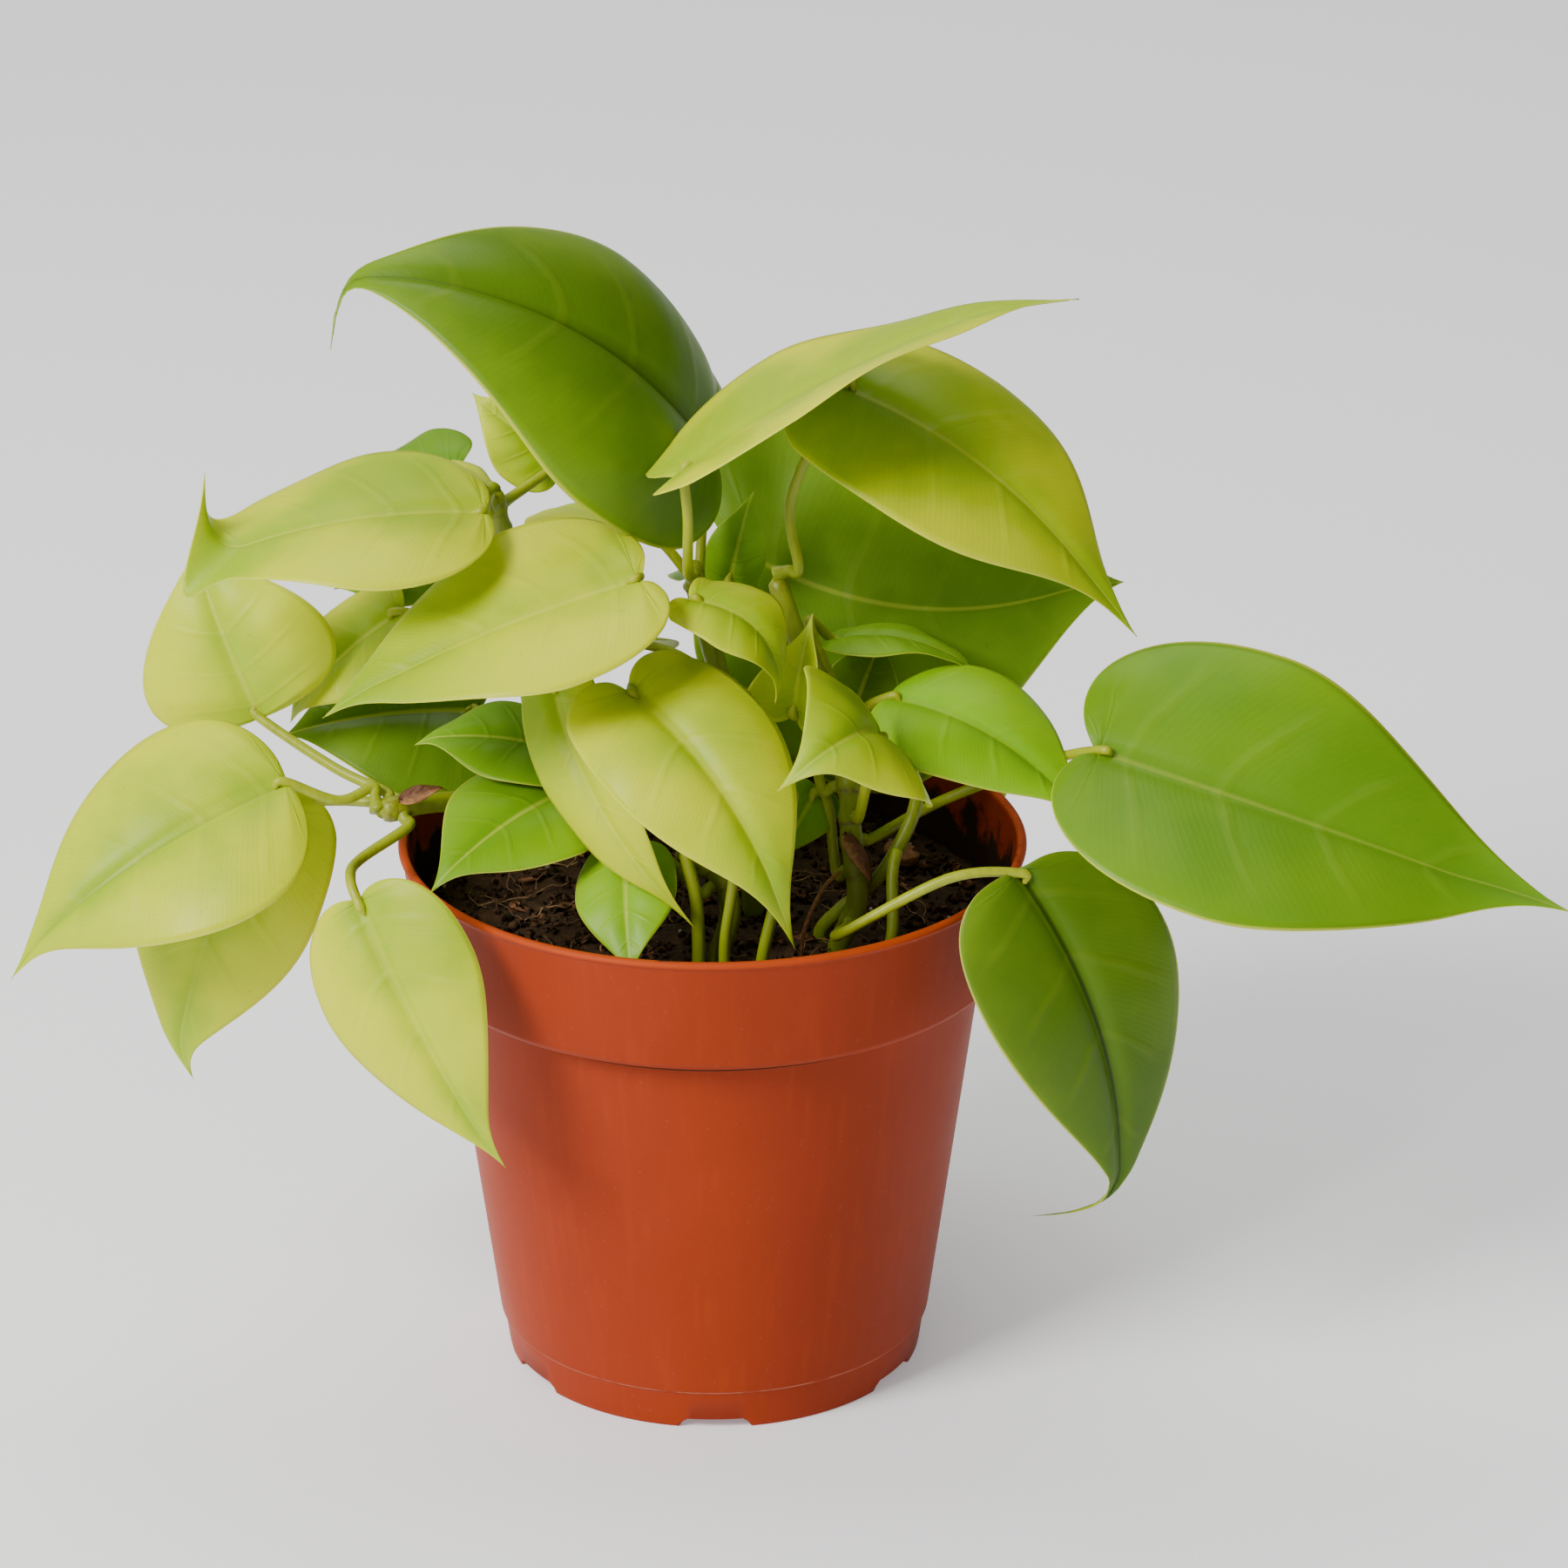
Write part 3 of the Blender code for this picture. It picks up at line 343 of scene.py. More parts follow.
DETAILS: dict[str, LeafDetail] = {
    "leaf_top_left": LeafDetail(crease=1.5, puff=0.10, wave=0.8, hook=(-9.0, 1.0, -6.0), rib=-0.3,
        hook_from=0.9, curl=(2.0, 0.0, -6.0)),
    "leaf_top_right": LeafDetail(crease=0.8, puff=0.05, wave=0.9, hook=(-1.5, 0.0, 3.0), tip_green=0.05),
    "leaf_upper_right": LeafDetail(crease=0.9, puff=0.06, wave=0.7, hook=(0.5, 1.0, 3.0), tip_green=0.3),
    "leaf_back_right": LeafDetail(crease=0.6, puff=0.05, wave=1.2, hook=(2.0, 3.0, 0.0), rib=0.3, veins=0.9,
        bright=1.3),
    "leaf_far_right": LeafDetail(crease=0.9, puff=0.07, wave=0.8, hook=(-0.5, 2.5, 3.0), rib=0.15,
        green=0.35, bright=0.85),
    "leaf_rim_right": LeafDetail(crease=1.6, puff=0.06, wave=0.5, hook=(0.0, 11.0, 2.0), rib=-0.8,
        hook_from=0.88, bright=0.85, curl=(-6.5, 0.0, 6.0)),
    "leaf_middle_right": LeafDetail(crease=0.8, puff=0.08, wave=0.5, hook=(-2.0, 0.0, 1.0), rib=0.1,
        bright=1.5),
    "leaf_front": LeafDetail(crease=1.0, puff=0.10, wave=0.5, hook=(-1.0, -1.0, 1.5), rib=0.25),
    "leaf_twisted": LeafDetail(crease=0.9, puff=0.04, wave=0.8, hook=(-1.0, 1.0, 2.0), rib=0.3),
    "leaf_front_bent": LeafDetail(crease=1.0, puff=0.05, wave=1.0, hook=(-2.0, 0.0, 0.0), green=0.2),
    "leaf_folded": LeafDetail(crease=0.8, puff=0.0, wave=0.2, hook=(0.0, 0.0, 2.0), green=0.15),
    "leaf_left_center": LeafDetail(crease=0.9, puff=0.07, wave=0.7, hook=(-1.5, -1.0, 1.0), tip_green=0.7),
    "leaf_left_upper": LeafDetail(crease=0.8, puff=0.05, wave=0.8, hook=(22.0, 2.0, -13.0), rib=0.3,
        hook_from=0.7, corner=7.0),
    "leaf_left_round": LeafDetail(crease=0.6, puff=0.07, wave=0.6, rib=0.3),
    "leaf_left_low": LeafDetail(crease=1.1, puff=0.09, wave=0.6, hook=(-0.5, -1.5, 2.0), rib=-0.1,
        tip_green=0.3),
    "leaf_left_bottom": LeafDetail(crease=0.6, puff=0.05, wave=0.5, hook=(-1.0, -3.0, 0.0), rib=0.2),
    "leaf_rim_left": LeafDetail(crease=1.1, puff=0.08, wave=0.5, hook=(0.0, -1.0, 1.5), rib=0.2),
    "leaf_over_rim": LeafDetail(crease=0.6, puff=0.05, wave=0.5, tip_green=0.3),
    "leaf_inside_rim": LeafDetail(crease=0.5, puff=0.05, wave=0.4, bright=1.2),
    "leaf_behind_left": LeafDetail(green=0.5, bright=0.8),
    "leaf_left_inner": LeafDetail(bright=0.85, skin=Tone.YOUNG),
}


# ------------------------------------------------------------------ shapes


def seed_of(name: str) -> int:
    """Number that is always the same for a name.

    Args:
        name: Name of a piece.

    Returns:
        A whole number from 0 to 2**32 - 1.
    """
    return zlib.crc32(name.encode())


def dimmed(color: Color, amount: float) -> Color:
    """Scales the brightness of a colour.

    Args:
        color: The colour.
        amount: Factor for each channel.

    Returns:
        The scaled colour.
    """
    return tuple(min(1.0, channel * amount) for channel in color)


def smooth_route(points: np.ndarray, per_span: int) -> np.ndarray:
    """Points on a Catmull-Rom curve.

    Args:
        points: Points that the curve passes.
        per_span: Number of steps between two of them.

    Returns:
        The curve's points, one per row.
    """
    p = [np.asarray(point, float) for point in points]
    p = [2 * p[0] - p[1], *p, 2 * p[-1] - p[-2]]
    route = []
    for i in range(1, len(p) - 2):
        for step in range(per_span):
            t = step / per_span
            linear = (p[i + 1] - p[i - 1]) * t
            square = (2 * p[i - 1] - 5 * p[i] + 4 * p[i + 1] - p[i + 2]) * t**2
            cube = (3 * p[i] - p[i - 1] - 3 * p[i + 1] + p[i + 2]) * t**3
            route.append(0.5 * (2 * p[i] + linear + square + cube))
    return np.array([*route, p[-2]])


def heart_margin(t: np.ndarray, lobe: float) -> tuple[np.ndarray, np.ndarray]:
    """Margin of one half of a heart leaf, from the notch (t = 0) round the lobe to the tip (t = 1).

    Args:
        t: Places along the margin.
        lobe: How far the lobe reaches behind the notch, as a share of the length.

    Returns:
        Distance from the midrib as a share of half the width, and place along it as a share of the length.
    """
    # Two cubic curves that meet at the widest place of the heart
    widest = 0.45
    back = ((0.0, 0.0), (0.12, -1.5 * lobe), (1.0, -2.0 * lobe), (1.0, 0.30))
    front = ((1.0, 0.30), (1.0, 0.60), (0.10, 0.82), (0.0, 1.0))
    is_back = t < widest
    u = np.where(is_back, t / widest, (t - widest) / (1 - widest))
    weights = ((1 - u) ** 3, 3 * u * (1 - u) ** 2, 3 * u**2 * (1 - u), u**3)
    found = []
    for axis in (0, 1):
        from_back = sum(w * p[axis] for w, p in zip(weights, back))
        from_front = sum(w * p[axis] for w, p in zip(weights, front))
        found.append(np.where(is_back, from_back, from_front))
    return found[0], found[1]


@dataclass
class Shape:
    """Points, faces and marks of one piece, gathered in mm before it becomes an object.

    Each point carries four marks that the finishes read: three in the attribute "mark" and one in "along".
    """

    points: list[np.ndarray] = field(default_factory=list)
    marks: list[np.ndarray] = field(default_factory=list)
    faces: list[list[int]] = field(default_factory=list)
    finishes: list[int] = field(default_factory=list)
    count: int = 0

    def add_points(self, points: np.ndarray, marks: np.ndarray) -> int:
        """Adds points with their marks.

        Args:
            points: One point per row.
            marks: Four marks per row.

        Returns:
            Index of the first of them.
        """
        first = self.count
        self.points.append(points.reshape(-1, 3))
        self.marks.append(marks.reshape(-1, 4))
        self.count += len(self.points[-1])
        return first

    def add_faces(self, faces: list[list[int]], finish: int) -> None:
        """Adds faces of one finish.

        Args:
            faces: Corners of each face.
            finish: Index of its finish.
        """
        self.faces += faces
        self.finishes += [finish] * len(faces)

    def grid(self, points: np.ndarray, marks: np.ndarray, finish: int, flip: bool = False,
             ring: bool = False) -> int:
        """Adds a grid of points and the quads between them.

        Args:
            points: Rows, columns and coordinates.
            marks: Rows, columns and four marks.
            finish: Index of its finish.
            flip: Whether the faces look the other way.
            ring: Whether the last column joins the first.

        Returns:
            Index of the first point.
        """
        rows, columns = points.shape[:2]
        first = self.add_points(points, marks)
        faces = []
        for i in range(rows - 1):
            for j in range(columns if ring else columns - 1):
                k = (j + 1) % columns
                a, b = first + i * columns + j, first + i * columns + k
                quad = [a, b, b + columns, a + columns]
                faces.append(quad[::-1] if flip else quad)
        self.add_faces(faces, finish)
        return first

    def closed_rings(self, points: np.ndarray, marks: np.ndarray, finish: int) -> None:
        """Adds a row of rings that joins up round and is closed at both ends.

        Args:
            points: Rings, points of each and coordinates.
            marks: Rings, points of each and four marks.
            finish: Index of its finish.
        """
        rings, sides = points.shape[:2]
        first = self.grid(points, marks, finish, ring=True)
        last = first + (rings - 1) * sides
        self.add_faces([list(range(first, first + sides))[::-1], list(range(last, last + sides))], finish)

    def tube(self, route: np.ndarray, radii: np.ndarray, sides: int, finish: int, marks: np.ndarray) -> None:
        """Adds a closed round tube along a route.

        Args:
            route: Points of its middle line.
            radii: Radius at each of them.
            sides: Points round it.
            finish: Index of its finish.
            marks: First two marks at each point of the route.
        """
        along = np.gradient(route, axis=0)
        along /= np.linalg.norm(along, axis=1)[:, None]
        across = np.cross(along[0], (0.3, 0.5, 0.8))
        turns = np.arange(sides) * 2 * math.pi / sides
        rings = []
        for place, direction, radius in zip(route, along, radii):
            across = across - direction * across.dot(direction)
            across /= np.linalg.norm(across)
            other = np.cross(direction, across)
            rings.append(place + radius * (np.cos(turns)[:, None] * across + np.sin(turns)[:, None] * other))
        ring_marks = np.zeros((len(route), sides, 4))
        ring_marks[:, :, :2] = marks[:, None, :]
        self.closed_rings(np.array(rings), ring_marks, finish)

    def to_object(self, name: str, materials: list[bpy.types.Material]) -> bpy.types.Object:
        """Makes the object, in metres, in the frame of the part.

        Args:
            name: Name of the object.
            materials: Its finishes in order.

        Returns:
            The object, linked to the scene.
        """
        mesh = bpy.data.meshes.new(name)
        points = np.concatenate(self.points) * MM + np.array(AXIS)
        mesh.from_pydata(points.tolist(), [], self.faces)
        marks = np.concatenate(self.marks).astype(np.float32)
        mark = mesh.attributes.new("mark", "FLOAT_VECTOR", "POINT")
        mark.data.foreach_set("vector", marks[:, :3].ravel())
        along = mesh.attributes.new("along", "FLOAT", "POINT")
        along.data.foreach_set("value", marks[:, 3].copy())
        mesh.polygons.foreach_set("material_index", self.finishes)
        mesh.shade_smooth()
        for material in materials:
            mesh.materials.append(material)
        obj = bpy.data.objects.new(name, mesh)
        bpy.context.scene.collection.objects.link(obj)
        return obj


# ------------------------------------------------------------------ finishes


class Graph:
    """Node tree of one material, with short calls that add a node and join it."""

    def __init__(self, name: str) -> None:
        """Starts a material that holds one Principled shader.

        Args:
            name: Name of the material.
        """
        self.material = bpy.data.materials.new(name)
        self.material.use_nodes = True
        self.nodes = self.material.node_tree.nodes
        self.links = self.material.node_tree.links
        self.shader = self.nodes["Principled BSDF"]

    def feed(self, socket: bpy.types.NodeSocket, value: object) -> None:
        """Joins a socket to another, or sets it to a plain value.

        Args:
            socket: Input socket.
            value: Output socket, number or colour.
        """
        if isinstance(value, bpy.types.NodeSocket):
            self.links.new(value, socket)
        elif isinstance(value, tuple) and len(value) == 3 and len(socket.default_value) == 4:
            socket.default_value = (*value, 1.0)
        else:
            socket.default_value = value

    def surface(self, **values: object) -> None:
        """Sets inputs of the Principled shader.

        Args:
            values: Input names with underscores for spaces, and their values.
        """
        for name, value in values.items():
            self.feed(self.shader.inputs[name.replace("_", " ")], value)

    def math(self, operation: str, a: object, b: object = 0.0, c: object = 0.0) -> bpy.types.NodeSocket:
        """Adds a Math node.

        Args:
            operation: Its operation.
            a: First value.
            b: Second value.
            c: Third value.

        Returns:
            Its output.
        """
        node = self.nodes.new("ShaderNodeMath")
        node.operation = operation
        for socket, value in zip(node.inputs, (a, b, c)):
            self.feed(socket, value)
        return node.outputs[0]

    def step(self, value: object, low: float, high: float) -> bpy.types.NodeSocket:
        """Adds a smooth step from 0 at `low` to 1 at `high`.

        Args:
            value: Value that is tested.
            low: Where the step starts.
            high: Where it ends.

        Returns:
            Its output.
        """
        node = self.nodes.new("ShaderNodeMapRange")
        node.interpolation_type = "SMOOTHSTEP"
        for name, given in (("Value", value), ("From Min", low), ("From Max", high)):
            self.feed(node.inputs[name], given)
        return node.outputs["Result"]

    def blend(self, amount: object, a: object, b: object) -> bpy.types.NodeSocket:
        """Adds a mix of two colours.

        Args:
            amount: Share of the second.
            a: First colour.
            b: Second colour.

        Returns:
            Its colour.
        """
        node = self.nodes.new("ShaderNodeMix")
        node.data_type = "RGBA"
        self.feed(node.inputs[0], amount)
        self.feed(node.inputs[6], a)
        self.feed(node.inputs[7], b)
        return node.outputs[2]

    def scaled(self, vector: bpy.types.NodeSocket, scale: Triple) -> bpy.types.NodeSocket:
        """Multiplies a vector by another.

        Args:
            vector: The vector.
            scale: Factor for each axis.

        Returns:
            The product.
        """
        node = self.nodes.new("ShaderNodeVectorMath")
        node.operation = "MULTIPLY"
        self.feed(node.inputs[0], vector)
        node.inputs[1].default_value = scale
        return node.outputs[0]

    def place(self) -> bpy.types.NodeSocket:
        """Returns the place on the object, in metres."""
        return self.nodes.new("ShaderNodeTexCoord").outputs["Object"]

    def noise(self, scale: float, detail: float = 3.0, vector: object = None) -> bpy.types.NodeSocket:
        """Adds a noise texture.

        Args:
            scale: Its scale.
            detail: Its detail.
            vector: Where it is read, or None for the place on the object.

        Returns:
            Its grey value, about 0.3 to 0.7.
        """
        node = self.nodes.new("ShaderNodeTexNoise")
        self.feed(node.inputs["Vector"], self.place() if vector is None else vector)
        node.inputs["Scale"].default_value = scale
        node.inputs["Detail"].default_value = detail
        return node.outputs["Fac"]

    def marks(self) -> list[bpy.types.NodeSocket]:
        """Returns the three values of the attribute "mark"."""
        node = self.nodes.new("ShaderNodeAttribute")
        node.attribute_name = "mark"
        split = self.nodes.new("ShaderNodeSeparateXYZ")
        self.links.new(node.outputs["Vector"], split.inputs[0])
        return list(split.outputs)

    def along(self) -> bpy.types.NodeSocket:
        """Returns the value of the attribute "along"."""
        node = self.nodes.new("ShaderNodeAttribute")
        node.attribute_name = "along"
        return node.outputs["Fac"]

    def bump(self, height: bpy.types.NodeSocket, distance: float, strength: float = 1.0) -> None:
        """Adds relief, over any that the shader already has.

        Args:
            height: Height, 0 to 1.
            distance: What a height of 1 is, in metres.
            strength: How strongly it shows.
        """
        node = self.nodes.new("ShaderNodeBump")
        node.inputs["Distance"].default_value = distance
        node.inputs["Strength"].default_value = strength
        self.feed(node.inputs["Height"], height)
        normal = self.shader.inputs["Normal"]
        if normal.is_linked:
            self.links.new(normal.links[0].from_socket, node.inputs["Normal"])
        self.links.new(node.outputs["Normal"], normal)


@dataclass(frozen=True)
class LeafFinish:
    """Skin of a leaf: mottled green, arched side veins, a midrib, a pale margin and a soft gloss.

    Args:
        light: Lighter colour of the mottling.
        deep: Deeper colour of the mottling.
        greener: Colour that green leaves and tips go towards.
        veins: How strongly the side veins show.
        gloss: Roughness of the skin.
        under: Whether it is the paler, duller lower skin.
    """

    light: Color
    deep: Color
    greener: Color
    veins: float
    gloss: float
    under: bool = False

    MARGIN: ClassVar[Color] = (0.66, 0.68, 0.08)
    UNDERSIDE: ClassVar[Color] = (0.42, 0.52, 0.03)
    FINE_VEINS: ClassVar[float] = 96.0
    MAIN_VEINS: ClassVar[float] = 7.0
    UNDER_VEINS: ClassVar[float] = 1.0
    UNDER_GLOSS: ClassVar[float] = 0.55

    def lower(self) -> "LeafFinish":
        """Returns the finish of the lower skin of the same leaf."""
        return LeafFinish(self.light, self.deep, self.greener, self.UNDER_VEINS, self.UNDER_GLOSS, True)

    def material(self, name: str, detail: LeafDetail) -> bpy.types.Material:
        """Builds the material for one leaf.

        Args:
            name: Name of the leaf.
            detail: Its fine colour.

        Returns:
            The material.
        """
        g = Graph(f"{name}_{'under' if self.under else 'upper'}")
        across, t, out = g.marks()
        share = g.along()
        side = g.math("ABSOLUTE", across)
        wander = g.noise(90.0, 2.0)

        center = g.math("MULTIPLY_ADD", side, -0.20, 0.14)
        mottle = g.step(g.math("ADD", g.noise(30.0, 4.0), center), 0.38, 0.66)
        color = g.blend(mottle, dimmed(self.light, detail.bright), dimmed(self.deep, detail.bright))
        tip = g.math("MULTIPLY", g.step(share, 0.35, 1.0), detail.tip_green)
        green = g.math("ADD", tip, detail.green + 0.10 * (seed_of(name) % 7) / 7)
        color = g.blend(green, color, dimmed(self.greener, detail.bright))

        fine_wave = g.math("ADD", g.math("MULTIPLY", t, self.FINE_VEINS), g.math("MULTIPLY", wander, 1.6))
        fine = g.math("PINGPONG", fine_wave, 0.5)
        fine = g.step(fine, 0.0, 0.30)
        main_wave = g.math("ADD", g.math("MULTIPLY", t, self.MAIN_VEINS), g.math("MULTIPLY", wander, 0.25))
        main = g.math("SUBTRACT", 1.0, g.step(g.math("PINGPONG", main_wave, 0.5), 0.0, 0.11))
        fade = g.math("MULTIPLY", main, g.math("SUBTRACT", 1.0, g.step(side, 0.55, 0.98)))
        inner = g.math("MULTIPLY", fine, g.step(side, 0.0, 0.15))
        color = g.blend(g.math("MULTIPLY", inner, 0.05 + 0.10 * self.veins), color, self.greener)
        color = g.blend(g.math("MULTIPLY", fade, 0.30 * self.veins * detail.veins), color, self.MARGIN)

        taper = g.math("MULTIPLY_ADD", share, -0.55, 0.85)
        beside = g.math("DIVIDE", g.math("ABSOLUTE", out), taper)
        rib = g.math("SUBTRACT", 1.0, g.step(beside, 0.25, 0.95))
        # Midrib line: pale vein colour where rib is above 0; below 0 it is a painted shade of the fold along
        # the midrib.
        tone = self.MARGIN if detail.rib > 0 else dimmed(self.deep, 0.22)
        color = g.blend(g.math("MULTIPLY", rib, abs(detail.rib)), color, tone)
        color = g.blend(g.math("MULTIPLY", g.step(side, 0.975, 0.996), 0.6), color, self.MARGIN)
        speck = g.step(g.noise(900.0, 1.0), 0.72, 0.78)
        color = g.blend(g.math("MULTIPLY", speck, 0.25), color, self.greener)
        if self.under:
            color = g.blend(0.45, color, self.UNDERSIDE)

        rough = g.math("MULTIPLY_ADD", g.noise(160.0, 4.0), 0.22, self.gloss - 0.11)
        g.surface(Base_Color=color, Roughness=rough, Specular_IOR_Level=0.22, Subsurface_Weight=0.22)
        g.surface(Subsurface_Radius=(0.8, 1.0, 0.05), Subsurface_Scale=0.0012)
        if not self.under:
            g.surface(Coat_Weight=0.05, Coat_Roughness=0.28)
        g.bump(g.noise(2600.0, 2.0), 0.00002, 0.5)
        g.bump(fine, 0.00002, 0.4)
        g.bump(fade, 0.00018 if self.under else -0.00012, 0.7)
        return g.material


@dataclass(frozen=True)
class StemFinish:
    """Skin of stems and stalks: smooth green with pale streaks, and brown scars at the nodes.

    Args:
        light: Colour of the lit, younger tissue.
        deep: Colour of the older tissue.
        scar: Colour of the scars.
    """

    light: Color = (0.40, 0.44, 0.01)
    deep: Color = (0.17, 0.24, 0.0)
    scar: Color = (0.12, 0.045, 0.015)

    def material(self, name: str) -> bpy.types.Material:
        """Builds the material.

        Args:
            name: Name of the material.

        Returns:
            The material.
        """
        g = Graph(name)
        age, node, _ = g.marks()
        streak = g.noise(1.0, 3.0, g.scaled(g.place(), (900.0, 900.0, 90.0)))
        color = g.blend(age, self.deep, self.light)
        color = g.blend(g.math("MULTIPLY", g.step(streak, 0.4, 0.7), 0.35), color, self.deep)
        scar = g.math("MULTIPLY", node, g.step(g.noise(1300.0, 2.0), 0.35, 0.6))
        color = g.blend(g.math("MULTIPLY", scar, 0.8), color, self.scar)
        g.surface(Base_Color=color, Roughness=0.42, Specular_IOR_Level=0.45, Subsurface_Weight=0.15)
        g.surface(Subsurface_Radius=(0.8, 1.0, 0.2), Subsurface_Scale=0.001)
        g.bump(streak, 0.00012, 0.6)
        g.bump(g.noise(2200.0, 2.0), 0.00003, 0.6)
        return g.material


@dataclass(frozen=True)
class PotFinish:
    """Terracotta-coloured injection-moulded plastic, satin, with dust, scuffs and soil stains on the inside.

    Args:
        plastic: Colour of the plastic.
        thin: Its colour at thin lips, where light passes.
        stain: Colour of dried soil.
    """

    plastic: Color = (0.315, 0.036, 0.009)
    thin: Color = (0.52, 0.075, 0.012)
    stain: Color = (0.030, 0.014, 0.008)

    SCUFF: ClassVar[Color] = (0.80, 0.36, 0.22)
    DUST: ClassVar[Color] = (0.62, 0.42, 0.33)
    FOOT_LINE: ClassVar[float] = 7.6
    LIP: ClassVar[tuple[float, float]] = (96.7, 97.9)
    WATERED: ClassVar[tuple[float, float]] = (84.0, 96.0)

    def material(self, name: str) -> bpy.types.Material:
        """Builds the material.

        Args:
            name: Name of the material.

        Returns:
            The material.
        """
        g = Graph(name)
        inside, height, _ = g.marks()
        cloud = g.step(g.noise(22.0, 4.0), 0.3, 0.7)
        color = g.blend(cloud, self.plastic, dimmed(self.plastic, 0.86))
        streak = g.noise(1.0, 2.0, g.scaled(g.place(), (420.0, 420.0, 14.0)))
        color = g.blend(g.math("MULTIPLY", g.step(streak, 0.52, 0.75), 0.10), color, self.thin)
        line = g.math("ABSOLUTE", g.math("SUBTRACT", height, self.FOOT_LINE))
        broken = g.step(g.noise(170.0, 2.0), 0.35, 0.52)
        line = g.math("MULTIPLY", g.math("SUBTRACT", 1.0, g.step(line, 0.05, 0.22)), broken)
        outside = g.math("SUBTRACT", 1.0, inside)
        color = g.blend(g.math("MULTIPLY", g.math("MULTIPLY", line, outside), 0.45), color, self.SCUFF)
        # Painted highlight along the beaded lip, where light would shine through the thin plastic.
        lip = g.step(height, *self.LIP)
        color = g.blend(g.math("MULTIPLY", lip, 0.65), color, self.thin)
        dust = g.math("MULTIPLY", g.step(g.noise(1500.0, 1.0), 0.70, 0.76), 0.05)
        color = g.blend(dust, color, self.DUST)
        low = g.math("SUBTRACT", 1.0, g.step(height, *self.WATERED))
        patch = g.step(g.math("ADD", g.noise(130.0, 5.0), g.math("MULTIPLY", low, 0.42)), 0.56, 0.72)
        soiled = g.math("MULTIPLY", inside, patch)
        color = g.blend(soiled, color, self.stain)
        rough = g.math("MULTIPLY_ADD", g.noise(60.0, 4.0), 0.14, 0.40)
        rough = g.math("MULTIPLY_ADD", patch, g.math("MULTIPLY", inside, 0.4), rough)
        g.surface(Base_Color=color, Roughness=rough)
        g.surface(Specular_IOR_Level=0.08, Subsurface_Weight=0.05, Subsurface_Scale=0.001)
        g.bump(g.noise(900.0, 3.0), 0.00003, 0.6)
        g.bump(line, 0.00012, 0.8)
        g.bump(soiled, 0.0005, 0.6)
        return g.material


@dataclass(frozen=True)
class GroundFinish:
    """Rough ground matter: peat, bark or dry tissue, coloured by the piece's marks and fine noise.

    Args:
        dark: Darkest colour.
        pale: Palest colour.
        grain: Scale of the grain.
        relief: Depth of the grain, in metres.
        roughness: Roughness of the surface.
    """

    dark: Color
    pale: Color
    grain: float = 700.0
    relief: float = 0.0005
    roughness: float = 0.9

    def material(self, name: str) -> bpy.types.Material:
        """Builds the material.

        Args:
            name: Name of the material.

        Returns:
            The material.
        """
        g = Graph(name)
        chance, _, _ = g.marks()
        grain = g.noise(self.grain, 5.0)
        amount = g.math("MULTIPLY_ADD", g.step(grain, 0.38, 0.72), 0.45, g.math("MULTIPLY", chance, 0.75))
        g.surface(Base_Color=g.blend(amount, self.dark, self.pale), Roughness=self.roughness)
        g.surface(Specular_IOR_Level=0.3)
        g.bump(grain, self.relief, 0.9)
        return g.material


@dataclass(frozen=True)
class PlainFinish:
    """One even colour, for the floor.

    Args:
        color: Its colour.
        roughness: Its roughness.
        glow: Light that it gives of its own.
    """

    color: Color
    roughness: float
    glow: float

    def material(self, name: str) -> bpy.types.Material:
        """Builds the material.

        Args:
            name: Name of the material.

        Returns:
            The material.
        """
        g = Graph(name)
        g.surface(Base_Color=self.color, Roughness=self.roughness, Specular_IOR_Level=0.2)
        g.surface(Emission_Color=self.color, Emission_Strength=self.glow)
        return g.material


LEAF_FINISHES: dict[Tone, LeafFinish] = {
    Tone.YOUNG: LeafFinish((0.56, 0.62, 0.0), (0.30, 0.44, 0.0), (0.13, 0.32, 0.0), 0.16, 0.45),
    Tone.MIDDLE: LeafFinish((0.20, 0.39, 0.0), (0.14, 0.31, 0.0), (0.07, 0.21, 0.0), 0.10, 0.44),
    Tone.OLD: LeafFinish((0.145, 0.265, 0.0), (0.085, 0.18, 0.0), (0.045, 0.12, 0.0), 0.09, 0.42),
}


# ------------------------------------------------------------------ pot and soil


